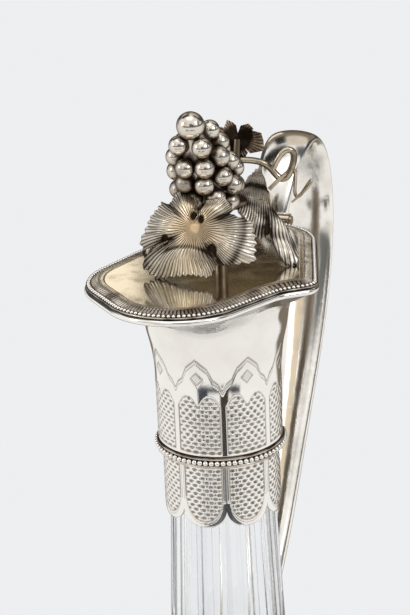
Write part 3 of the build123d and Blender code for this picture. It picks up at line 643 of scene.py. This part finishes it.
# Collar sleeve and mouth
# Raised from one sheet: a straight sleeve that opens in a cove to the shield-shaped mouth.
# Its panels carry the same diaper, closed by pointed arches of two lines with a lozenge.
seat_height, seat_tilt = 244.5, np.radians(1.7)
rim_depth, rim_width = 2.0, 3.4
sleeve_radius = skirt_radius + 0.3 + sheet
sleeve_straight, flare_foot_radius, flare_depth, flare_curve, flare_inset = 20.0, 20.9, 17.0, 3.2, 1.2
back_end, back_arc = 50.0, 23.5
relief_top, cove_start = 224.6, 225.3
sleeve_margin, field_foot, field_top = 1.05, 3.0, 21.0
notch_foot, notch_slope = 18.6, 1.3
arch_foot, arch_apex, arch_gap = 23.3, 33.2, 1.15
arch_shares, arch_rises = [0, 0.13, 0.34, 0.56, 1], [0, 0.20, 0.33, 0.70, 1]
lozenge_height, lozenge_half_width, lozenge_half_height, hatch_pitch = 26.9, 1.95, 2.1, 0.45
mouth_circles = np.array([
    (-15.8, 9.7, 23.5),
    (-27.0, 1.4, 21.4),
    (-24.8, -35.8, -11.7),
    (-7.8, -28.2, 6.2),
    (back_end - back_arc, 0.0, back_arc),
])


def mouth_outline(count):
    """Points and outward normals round the mouth, evenly spaced by length.

    The outline is a belt round circles. A run between two circles has the normal angle
    atan2(dy, dx) - acos((r1 - r2) / d), and each circle's arc turns from the normal of
    the run before to that of the run after, backwards where the radius is negative.
    """
    centre, radius = mouth_circles[:, :2], mouth_circles[:, 2]
    ahead = np.roll(centre, -1, 0) - centre
    gap = np.hypot(*ahead.T)
    normal = np.arctan2(ahead[:, 1], ahead[:, 0]) - np.arccos((radius - np.roll(radius, -1)) / gap)
    start = np.roll(normal, 1)
    turn = (normal - start) % (2 * np.pi)
    turn = np.where(radius < 0, turn - 2 * np.pi, turn)
    arc_length = np.abs(radius * turn)
    run_length = np.sqrt(gap**2 - (radius - np.roll(radius, -1)) ** 2)
    lengths = np.stack([arc_length, run_length], axis=-1).ravel()
    ends = np.cumsum(lengths)
    place = (np.arange(count) + 0.5) * ends[-1] / count
    piece = np.searchsorted(ends, place)
    share = (place - (ends - lengths)[piece]) / lengths[piece]
    circle, on_run = piece // 2, piece % 2 == 1
    angle = np.where(on_run, normal[circle], start[circle] + share * turn[circle])
    out = np.stack([np.cos(angle), np.sin(angle)], axis=-1)
    following = (circle + 1) % len(radius)
    first = centre[circle] + radius[circle, None] * out
    second = centre[following] + radius[following, None] * out
    points = np.where(on_run[:, None], first + (second - first) * share[:, None], first)
    return points, out, ends[-1]


def seat(points):
    """Turn points of the flat seat frame onto the tilted seat."""
    x, y, z = np.moveaxis(np.asarray(points, float), -1, 0)
    return np.stack([
        x * np.cos(seat_tilt) + z * np.sin(seat_tilt),
        y,
        z * np.cos(seat_tilt) - x * np.sin(seat_tilt) + seat_height,
    ], axis=-1)


def arch_height(run, half):
    """Shouldered arch: steep from the foot, nearly level at the shoulder, steep again and
    then straight up to the point."""
    share = 1 - np.clip(np.abs(run) / half, 0, 1)
    return arch_foot + (arch_apex - arch_foot) * np.interp(share, arch_shares, arch_rises)


def sleeve_relief(angle, height):
    """Depth and toning of a sleeve panel: chips in a field with two round heads and a notch
    between them, two arch lines over it, and a hatched lozenge |x| / a + |y| / b = 1."""
    run = panel_run(angle, sleeve_radius)
    half = panel / 2 * sleeve_radius
    up = height - ring_height
    field_half = half - sleeve_margin
    from_head = np.clip(np.abs(np.abs(run) - field_half * 0.52) / (field_half * 0.48), 0, 1)
    heads = field_top - 1.9 * from_head**2 * 1.6
    notch = notch_foot + notch_slope * np.abs(run)
    edge_distance = np.minimum(field_half - np.abs(run), (np.minimum(heads, notch) - up) * 0.9)
    edge_distance = np.minimum(edge_distance, up - field_foot)
    inside = smooth(edge_distance, 0.0, field_soft)
    cut = chips(run, height) * inside
    line = engraved(edge_distance, 0.26)
    over_arch = arch_height(run, half - 0.2) - up
    first = engraved(over_arch * 0.62, 0.26)
    second = engraved((over_arch - arch_gap) * 0.62, 0.22)
    lozenge_out = np.abs(run) / lozenge_half_width + np.abs(up - lozenge_height) / lozenge_half_height
    lozenge = engraved((lozenge_out - 1) * 1.4, 0.24)
    hatch = (lozenge_out < 0.92) * np.clip(np.sin(np.pi * (run + up) / hatch_pitch), 0, 1)
    depth = chip_depth * cut + 0.20 * line + 0.26 * first + 0.16 * second + 0.18 * lozenge + 0.08 * hatch
    toning_share = cut * 0.95 + line * 0.85 + first + second * 0.7 + lozenge * 0.8 + hatch * 0.6
    return depth, np.clip(toning_share, 0, 1)


def mouth_wall(wall, rise, heights, columns):
    """Rows of the sleeve and its cove, drawn in by wall at the sleeve.

    Up to the cove's foot the radius is the sleeve's, then an arc to the foot radius.
    Above it each point lies between the round foot and the mouth's outline on its own
    ray, by the share's power of the cove's curve, and the height tilts with the share.
    The sleeve's slope at the foot is carried on by s t (1 - t)^2, which dies away at the rim.
    """
    points, out, _ = mouth_outline(columns)
    rim = points - out * flare_inset
    rim_reach = np.hypot(rim[:, 0], rim[:, 1])
    angle = np.arctan2(rim[:, 1], rim[:, 0])
    foot_height = seat_height - rim_depth / np.cos(seat_tilt) - flare_depth
    bend = ring_height + band_depth / 2 + sleeve_straight
    foot_radius = flare_foot_radius - wall
    swell = foot_radius - (sleeve_radius - wall)
    climb = np.clip(heights - bend, 0, foot_height - bend)[:, None]
    arc = (swell**2 + (foot_height - bend) ** 2) / (2 * swell)
    round_part = sleeve_radius - wall + arc - np.sqrt(arc**2 - climb**2)
    share = np.clip((heights - foot_height) / flare_depth, 0, 1)[:, None]
    blend = share**flare_curve
    foot_slope = (foot_height - bend) / (arc - swell)
    carry = foot_slope * flare_depth * share * (1 - share) ** 2
    cove = foot_radius + carry + blend * (rim_reach[None, :] - foot_radius)
    reach = np.where(share > 0, cove, round_part)
    x, y = reach * np.cos(angle), reach * np.sin(angle)
    z = heights[:, None] + share * rise - x * np.tan(share * seat_tilt)
    return x, y, z, angle


columns = 880
low = ring_height + band_depth / 2
rim_foot = seat_height - rim_depth
relief_heights = np.linspace(low, relief_top, 80)
cove_heights = cove_start + (rim_foot - cove_start) * np.linspace(0, 1, 24)[1:] ** 0.8
heights = np.concatenate([relief_heights, cove_heights])
x, y, z, angle = mouth_wall(0, 0, heights, columns)
depth, hollow = sleeve_relief(angle[None, :], np.repeat(heights[:, None], columns, axis=1))
reach = np.hypot(x, y)
outer = np.stack([x * (1 - depth / reach), y * (1 - depth / reach), z], axis=-1)
x, y, z, _ = mouth_wall(sheet, 0.2, np.linspace(rim_foot, low, 10), columns)
inner = np.stack([x, y, z], axis=-1)
grid = np.concatenate([outer, inner])
marks = np.concatenate([hollow, np.full(inner.shape[:2], 0.3)])
# The side under the handle gets painted shade.
marks = np.maximum(marks, behind(grid))
sleeve = skin("sleeve_and_cove", grid, "jug", ["collar_mouth"], marks={"hollow": marks})
sleeve.data.materials.append(polished)

# Mouth rim
# A half-round wire bent to the mouth's outline and soldered on its edge. The lid's border
# rests just above it, with a fine dark gap.
outline, outward, _ = mouth_outline(720)


def belt(profile, outline, outward):
    """Carry a profile of (inset, height) round the mouth: point = outline - inset * normal."""
    inset, height = profile[:, 0], profile[:, 1]
    flat = outline[None, :, :] - inset[:, None, None] * outward[None, :, :]
    rise = np.broadcast_to(height[:, None, None], flat.shape[:2] + (1,))
    return seat(np.concatenate([flat, rise], axis=-1))


turn = np.linspace(-np.pi / 2, np.pi / 2, 13)
half_round = np.stack([rim_depth / 2 * (1 - np.cos(turn)), rim_depth / 2 * (np.sin(turn) - 1)], axis=-1)
inside = np.array([(rim_width - 0.3, 0.0), (rim_width, -0.3), (rim_width, -rim_depth)])
profile = np.concatenate([half_round, inside])
rim_marks = np.clip((profile[:, 1] + 0.25) / 0.25, 0, 1) * 0.8
rim = skin(
    "mouth_rim_wire", belt(profile, outline, outward), "jug", ["mouth_rim"],
    marks={"hollow": rim_marks[:, None]},
)
rim.data.materials.append(polished)

# Hinge block, pin and handle socket
# Cast blocks soldered behind the mouth. The pin is drawn silver wire, riveted over at both
# ends so that it stays in the fixed knuckles.
hinge_silver = silver(
    "hinge_silver", (0.62, 0.53, 0.42, 1), (0.10, 0.07, 0.045, 1), 0.5, 0.16, crevice=0.006
)
for node in ("hinge_bracket", "hinge_pin", "handle_socket"):
    finish_node(node, hinge_silver)

# Handle
# A heavy cast strap, oval in section, that rises in a high loop behind the lid and comes
# down to the boss on the neck band.
handle_silver = silver("handle_silver", (0.95, 0.92, 0.87, 1), (0.30, 0.22, 0.15, 1), 0.18, 0.13)
finish_node("handle", handle_silver)

# Neck band and boss
# A rolled band with a wire along each edge, closed round the foot of the glass neck.
# The boss is a small cast dome that the handle is pinned into.
for node in ("neck_band", "band_boss"):
    finish_node(node, polished)

# Lid border
# A cast border on the lid's edge: a row of beads, a band of short upright leaves that
# slopes up to a crest, and a plain fillet round the plate.
lid_gap, border_inset, slope_inset, plate_inset = 0.3, 0.45, 4.3, 5.98
border_foot, border_crest = 0.35, 1.7
leaf_low, leaf_high, leaf_pitch, leaf_depth = 2.0, 4.2, 1.25, 0.42
fillet_insets = [4.35, 4.6, 5.0, 5.4, 5.7, 5.9, plate_inset]
fillet_drops = np.array([0.0, 0.12, 0.06, 0.0, 0.0, 0.06, 0.14])
columns = 1680
outline, outward, outline_length = mouth_outline(columns)
leaf_count = round(outline_length / leaf_pitch)
phase = (np.arange(columns) + 0.5) / columns * leaf_count % 1
inset = np.concatenate([
    [plate_inset, border_inset, border_inset],
    np.linspace(0.6, 1.9, 5),
    np.linspace(leaf_low, leaf_high, 12),
    fillet_insets,
])
row = np.arange(len(inset))
base = np.interp(inset, [border_inset, slope_inset], [lid_gap + border_foot, lid_gap + border_crest])
base[:2] = lid_gap
base[-len(fillet_drops):] = lid_gap + border_crest - fillet_drops
along_leaf = np.clip((inset - leaf_low) / (leaf_high - leaf_low), 0, 1)
on_leaf = (inset >= leaf_low) & (inset <= leaf_high) & (row > 2)


def leaf_band(phase, along_leaf):
    """Short leaves side by side: between two leaves the groove's depth is one and falls to
    nought on the leaf's rib; the leaf narrows to a round tip at its upper end."""
    from_rib = np.abs(phase - 0.5)[None, :] * 2
    width = 0.92 - 0.5 * along_leaf[:, None] ** 3
    groove = smooth(from_rib, width * 0.62, width)
    rib = engraved(from_rib, 0.16) * 0.35
    return np.clip(groove + rib, 0, 1)


groove = leaf_band(phase, along_leaf) * on_leaf[:, None]
border = belt(np.stack([inset, base], axis=-1), outline, outward)
border[..., 2] -= leaf_depth * groove
channel = ((inset > 0.5) & (inset < leaf_low + 0.1) & (row > 2))[:, None] * 0.9
underside = (row < 2)[:, None] * 0.6
marks = {"hollow": np.clip(groove + channel + underside, 0, 1)}
border_piece = skin("border_leaf_band", border, "lid", ["lid_border"], marks=marks)
border_piece.data.materials.append(chased)
finish_node("lid_beads", polished)

# Lid plate, lip and knuckle
# The plate is a flat sheet, bright on top, with the vine screwed through it. The lip under
# it is a bent strip; the knuckle is a cast tube on a leaf, soldered to the border.
plate_silver = silver(
    "plate_silver", (0.90, 0.84, 0.72, 1), (0.30, 0.23, 0.14, 1), 0.35, 0.06, crevice=0.006
)
finish_node("lid_plate", plate_silver)
finish_node("lid_lip", polished)
finish_node("lid_knuckle", hinge_silver)

# Vine stem and its fixing
# A cast stem on a round foot with a branch to each leaf. A threaded stud goes through the
# plate and is held by a washer and a hexagon nut.
for node in ("finial_stud", "finial_washer", "finial_nut"):
    finish_node(node, polished)
stem_silver = silver(
    "stem_silver", (0.26, 0.20, 0.14, 1), (0.04, 0.028, 0.016, 1), 0.6, 0.25, crevice=0.006
)
finish_node("vine_stem", stem_silver)

# Grapes
# Silver balls soldered on a tapered core, the largest one at the tip. Brown toning lies
# between them where no cloth reaches, and painted shade darkens each ball's edge where it
# turns away from the camera.
grape_silver = silver(
    "grape_silver", (0.77, 0.71, 0.63, 1), (0.10, 0.062, 0.034, 1), 0.55, 0.13, crevice=0.006, rim=0.9
)
for node in ("grape_tip", "grape_tier_1", "grape_tier_2", "grape_tier_3", "grape_tier_4", "grape_tier_5"):
    finish_node(node, grape_silver)
finish_node("grape_core", chased)

# Vine leaves
# Cast leaves with chased veins that fan out from the stalk, a serrated edge and deep bays
# between the lobes. The front leaf is broad and faces the spout, the side leaves hang.
leaf_sheet, leaf_dome, side_leaf_dome, back_leaf_dome, back_leaf_scale = 0.9, 45.0, 60.0, 30.0, 0.45
leaf_columns, leaf_rings, vein_depth, tooth_depth, lobe_rise, ripple = 1080, 44, 0.24, 0.05, 1.1, 0.22
broad_leaf = np.array([
    (88, 3.0), (99, 8.5), (110, 11.0), (122, 14.0), (145, 11.4), (150, 14.2), (172, 16.2), (194, 19.7),
    (203, 19.0), (205, 8.5), (208, 17.5), (213, 22.0), (231, 20.3), (263, 13.7), (287, 14.6), (304, 12.0),
    (306, 7.3), (310, 13.2), (334, 19.2), (353, 17.1), (372, 15.8), (388, 10.6), (391, 12.0), (414, 11.8),
    (437, 8.4),
])
hanging_leaf = np.array([
    (72, 17.5), (65, 20.0), (61, 10.8), (39, 4.5), (300, 3.6), (292, 7.3), (289, 12.0), (287, 15.6),
    (283, 19.1), (278, 22.0), (272, 22.6), (268, 21.4), (263, 18.4), (259, 14.6), (257, 11.6), (253, 12.3),
    (243, 13.6), (236, 12.7), (228, 10.4), (211, 8.8), (184, 8.4), (150, 8.4), (106, 9.4), (83, 13.4),
])


def leaf_reach(edge, angle, teeth):
    """Reach of the leaf's edge at each angle: straight runs between the corners as a chord
    in polar form, r = r1 r2 sin(t2 - t1) / (r1 sin(t - t1) + r2 sin(t2 - t)), cut by teeth."""
    turn = np.radians(edge[:, 0]) % (2 * np.pi)
    order = np.argsort(turn)
    turn, reach = turn[order], edge[order, 1]
    turn = np.r_[turn[-1] - 2 * np.pi, turn, turn[0] + 2 * np.pi]
    reach = np.r_[reach[-1], reach, reach[0]]
    low = np.clip(np.searchsorted(turn, angle, side="right") - 1, 0, len(turn) - 2)
    first, second, start, end = reach[low], reach[low + 1], turn[low], turn[low + 1]
    chord = first * second * np.sin(end - start)
    chord = chord / np.maximum(first * np.sin(angle - start) + second * np.sin(end - angle), 1e-6)
    saw = np.abs((angle / (2 * np.pi) * teeth) % 1 - 0.5) * 2
    return chord * (1 - tooth_depth * saw * smooth(chord, 8, 14))


def leaf_skin(
    name, edge, dome, place, pitch, turn, node, bays, veins, curl, material, folds, origin=(0, 0)
):
    """Leaf as a closed polar surface: share of the reach outwards, angle round the centre.

    Its face is a cap of a sphere, z = sqrt(D^2 - r^2) - D. Each lobe, from one bay to the
    next, swells by the sine of its share of the way and rolls back near its edge by curl.
    Veins are cosine grooves along the rays from their origin; a set twice as fine takes
    over half way out. Folds is a function of the place on the leaf that adds a height and
    a painted shade of its own to the hollow mark, and each bay between two lobes gets
    painted shade too. The leaf then stands at its place, leant back by pitch and swung
    round by turn.
    """
    angle = np.linspace(0, 2 * np.pi, leaf_columns, endpoint=False)
    reach = leaf_reach(edge, angle, veins)
    share = np.concatenate([[0.0], np.linspace(0.04, 1, leaf_rings) ** 0.9])[:, None]
    radius = share * reach[None, :]
    bays = np.sort(np.radians(bays) % (2 * np.pi))
    ring = np.r_[bays[-1] - 2 * np.pi, bays, bays[0] + 2 * np.pi]
    lobe = np.searchsorted(ring, angle, side="right") - 1
    across_lobe = (angle - ring[lobe]) / (ring[lobe + 1] - ring[lobe])
    swell = np.sin(np.pi * across_lobe)[None, :] ** 0.75
    x, y = radius * np.cos(angle), radius * np.sin(angle)
    along_vein = np.hypot(x - origin[0], y - origin[1])
    bearing = np.arctan2(y - origin[1], x - origin[0])
    fan = bearing * veins + 1.2 * np.sin(3 * bearing + 0.25 * along_vein)
    mix = smooth(along_vein + 1.2 * np.sin(7 * angle), 7.0, 9.5)
    groove = (1 - mix) * (0.5 - 0.5 * np.cos(fan)) ** 5 + mix * (0.5 - 0.5 * np.cos(2 * fan)) ** 4
    groove = groove * smooth(along_vein, 0.8, 3.0)
    lift = np.sqrt(np.clip(dome**2 - radius**2, 0, None)) - dome
    lift = lift + lobe_rise * (swell - 1) * smooth(radius, 1.5, 11)
    lift = lift - curl * smooth(radius, 0.62 * reach, reach) * swell
    lift = lift + ripple * np.sin(13 * angle + 0.5) * smooth(radius, 4.0, 12.0)
    # Painted shade in the bays between the lobes.
    painted_bay_shade = (1 - swell) ** 1.5 * smooth(radius, 3, 8)
    raised, painted_shade = folds(x, y)
    upper = np.stack([x, y, lift + raised - vein_depth * groove], axis=-1)
    lower_rows = np.r_[np.arange(len(share) - 2, 0, -4), 0]
    lower = np.stack([x, y, lift - leaf_sheet], axis=-1)[lower_rows]
    local = np.concatenate([upper, lower])
    # Toning in the veins, with the painted shade of the bays and folds.
    tone_and_shade = np.clip(groove * 0.6 + painted_bay_shade + painted_shade, 0, 1)
    marks = {
        "hollow": np.concatenate([tone_and_shade, np.full(lower.shape[:2], 0.5)]),
        "warm": np.concatenate([0.85 - 0.85 * smooth(radius, 1, 14), np.zeros(lower.shape[:2])]),
    }
    lean, swing = np.radians(pitch), np.radians(turn)
    out = np.array([-np.cos(lean) * np.cos(swing), -np.cos(lean) * np.sin(swing), np.sin(lean)])
    up = np.array([np.sin(lean) * np.cos(swing), np.sin(lean) * np.sin(swing), np.cos(lean)])
    placed = seat(local @ np.stack([np.cross(up, out), up, out]) + np.array(place))
    obj = skin(name, placed, "lid", [node], closed=False, marks=marks)
    obj.data.materials.append(material)


front_drops = ((-0.9, 3.4, 0.9), (1.5, 2.5, 0.9), (-9.4, -3.9, 1.2), (5.2, -6.0, 1.4))


def front_folds(x, y):
    """Drop-shaped hollows by the stalk and at the two bays' roots, with raised rims; the
    step where the bottom lobe comes forward; the roll along the right lobe. Rims and roll
    are bell curves of the distance from their middle lines. Painted shade fills the drops
    and lies along the step, beyond the roll and down the bay between the bottom and the
    right lobe."""
    radius = np.hypot(x, y)
    right = smooth(np.cos(np.arctan2(y, x) - 0.1), 0.45, 0.75)
    raised = np.exp(-(((radius - 11.8) / 1.5) ** 2)) * right
    painted_shade = 0.5 * np.exp(-(((radius - 13.8) / 0.8) ** 2)) * right
    for drop_x, drop_y, size in front_drops:
        out = np.hypot((x - drop_x) / size, (y - drop_y) / (1.4 * size))
        inside = 1 - smooth(out, 0.75, 1.05)
        raised = raised - 0.5 * inside + 0.4 * np.exp(-(((out - 1.4) / 0.25) ** 2))
        painted_shade = painted_shade + inside
    below = -5.4 - 0.035 * (x + 2) ** 2 - y
    span = smooth(x, -11, -8) * smooth(x, 5, 3)
    raised = raised + 0.7 * smooth(below, 0.0, 0.9) * smooth(below, 6.0, 2.0) * span
    painted_shade = painted_shade + 0.6 * np.exp(-((below / 0.6) ** 2)) * span
    channel = np.abs((x - 5.2) * 0.795 + (y + 6.0) * 0.606)
    painted_shade = painted_shade + (1 - smooth(channel, 0.25, 0.7)) * (y < -6.0) * (y > -10.4) * (x > 0)
    return raised, painted_shade


def side_folds(x, y):
    """Long sine waves across the hanging leaf, with painted shade in their hollows, and a round
    hollow where the upper lobe curls in, filled with painted shade."""
    radius = np.hypot(x, y)
    wave = np.sin(0.62 * y + 0.25 * x + 0.8 * np.sin(0.3 * x))
    raised = 0.45 * wave * smooth(radius, 2, 8)
    painted_shade = 0.42 * smooth(-wave, 0.0, 1.0) * smooth(radius, 2, 8)
    curl = 1 - smooth(np.hypot(x - 3.5, y + 2.5), 0.8, 1.7)
    return raised - 0.5 * curl, np.clip(painted_shade + curl, 0, 1)


def back_folds(x, y):
    """The leaf is rolled: its edge is raised into a roll, and its middle, left low, carries painted shade.
    """
    edge_roll = smooth(np.hypot(x, y), 3.6, 5.2)
    return 0.5 * edge_roll, 0.9 * (1 - edge_roll)


gold = (0.80, 0.60, 0.36, 1)
leaf_silver = silver(
    "leaf_silver", (0.84, 0.775, 0.68, 1), (0.045, 0.03, 0.02, 1), 0.30, 0.30, crevice=0.003, warm=gold
)
side_silver = silver(
    "side_leaf_silver", (0.80, 0.73, 0.64, 1), (0.035, 0.024, 0.016, 1), 0.75, 0.22, crevice=0.004
)
# The back leaf is coloured dark all over: painted shade for the shadow under the grape bunch.
painted_shade_back_silver = silver(
    "back_leaf_painted_shade", (0.36, 0.27, 0.19, 1), (0.02, 0.013, 0.008, 1), 0.85, 0.2, crevice=0.006
)
side_x, side_y, side_z = 12.6, 11.9, 18.6
front_bays, side_bays, back_bays = (88, 147, 205, 306, 388), (292, 257, 150, 45), (88, 205, 306)
mirrored = hanging_leaf * np.array([-1, 1]) + np.array([180, 0])
mirrored_bays = [180 - bay for bay in side_bays]
small = broad_leaf * np.array([1, back_leaf_scale])
leaf_skin(
    "front_leaf", broad_leaf, leaf_dome, (-19.5, -1.4, 18.4), 20, 0, "leaf_front",
    front_bays, 54, 2.2, leaf_silver, front_folds,
)
leaf_skin(
    "near_leaf", hanging_leaf, side_leaf_dome, (side_x, -side_y, side_z), 58, 45, "leaf_near",
    side_bays, 84, 1.6, side_silver, side_folds, origin=(5.0, 15.0),
)
leaf_skin(
    "far_leaf", mirrored, side_leaf_dome, (side_x, side_y, side_z), 58, -45, "leaf_far",
    mirrored_bays, 84, 1.6, side_silver, side_folds, origin=(-5.0, 15.0),
)
leaf_skin(
    "back_leaf", small, back_leaf_dome, (15.0, -3.2, 36.5), 10, 10, "leaf_back",
    back_bays, 44, 1.2, painted_shade_back_silver, back_folds,
)

# Tendrils
# Drawn wire, bent by hand: a broad loop soldered to the stem, and a thinner curl that
# tapers to a fine end and is soldered to the near leaf.
wire_sides, wire_steps = 20, 16


def tube(name, corners, radii, node):
    """Tapered wire along a smooth curve through its corners.

    The curve is a uniform cubic B-spline with doubled ends. Each ring stands square to the
    curve, on a frame made from the tangent and a fixed side vector, and the radius runs
    through the given values in equal steps. The wire starts from a point on its middle
    line, and its last ring closes to a point."""
    corners = np.asarray(corners, float)
    padded = np.concatenate([corners[:1], corners[:1], corners, corners[-1:], corners[-1:]])
    spans = len(padded) - 3
    place = np.linspace(0, spans, wire_steps * spans + 1)
    low = np.minimum(place.astype(int), spans - 1)
    t = (place - low)[:, None]
    line = (1 - t) ** 3 * padded[low] + (3 * t**3 - 6 * t**2 + 4) * padded[low + 1]
    line = (line + (-3 * t**3 + 3 * t**2 + 3 * t + 1) * padded[low + 2] + t**3 * padded[low + 3]) / 6
    ahead = np.gradient(line, axis=0)
    ahead = ahead / np.linalg.norm(ahead, axis=1)[:, None]
    helper = np.array([0.94, 0.33, 0.05])
    first = np.cross(ahead, helper)
    first = first / np.linalg.norm(first, axis=1)[:, None]
    second = np.cross(ahead, first)
    size = np.interp(np.linspace(0, 1, len(line)), np.linspace(0, 1, len(radii)), radii)[:, None, None]
    around = np.linspace(0, 2 * np.pi, wire_sides, endpoint=False)[None, :, None]
    ring = np.cos(around) * first[:, None, :] + np.sin(around) * second[:, None, :]
    start = np.repeat(line[:1, None, :], wire_sides, axis=1)
    grid = seat(np.concatenate([start, line[:, None, :] + size * ring]))
    obj = skin(name, grid, "lid", [node], closed=False)
    obj.data.materials.append(tendril_silver)


# The wire darkens where it turns away from the camera: painted shade on its edges.
tendril_silver = silver(
    "tendril_silver", (0.62, 0.53, 0.41, 1), (0.06, 0.038, 0.02, 1), 0.8, 0.14, crevice=0.003, rim=0.9
)
tube("loop_tendril", [
    (14.6, -4.0, 30.0), (18.6, -11.2, 29.2), (19.8, -14.2, 23.2), (20.2, -17.2, 23.4),
    (20.2, -19.8, 30.8), (19.0, -18.6, 33.2), (17.6, -16.0, 32.8), (16.6, -13.8, 27.4),
], [0.95, 1.0, 1.05, 1.0, 0.95, 0.8], "tendril_loop")
tube("curl_tendril", [
    (17.6, -12.0, 20.6), (20.6, -17.8, 26.6), (21.2, -19.8, 26.4), (20.9, -18.4, 17.8),
    (20.9, -20.8, 17.6), (21.9, -23.8, 24.0), (21.2, -25.0, 22.4), (19.0, -18.6, 16.6),
], [0.6, 0.6, 0.55, 0.5, 0.4, 0.3], "tendril_coil")
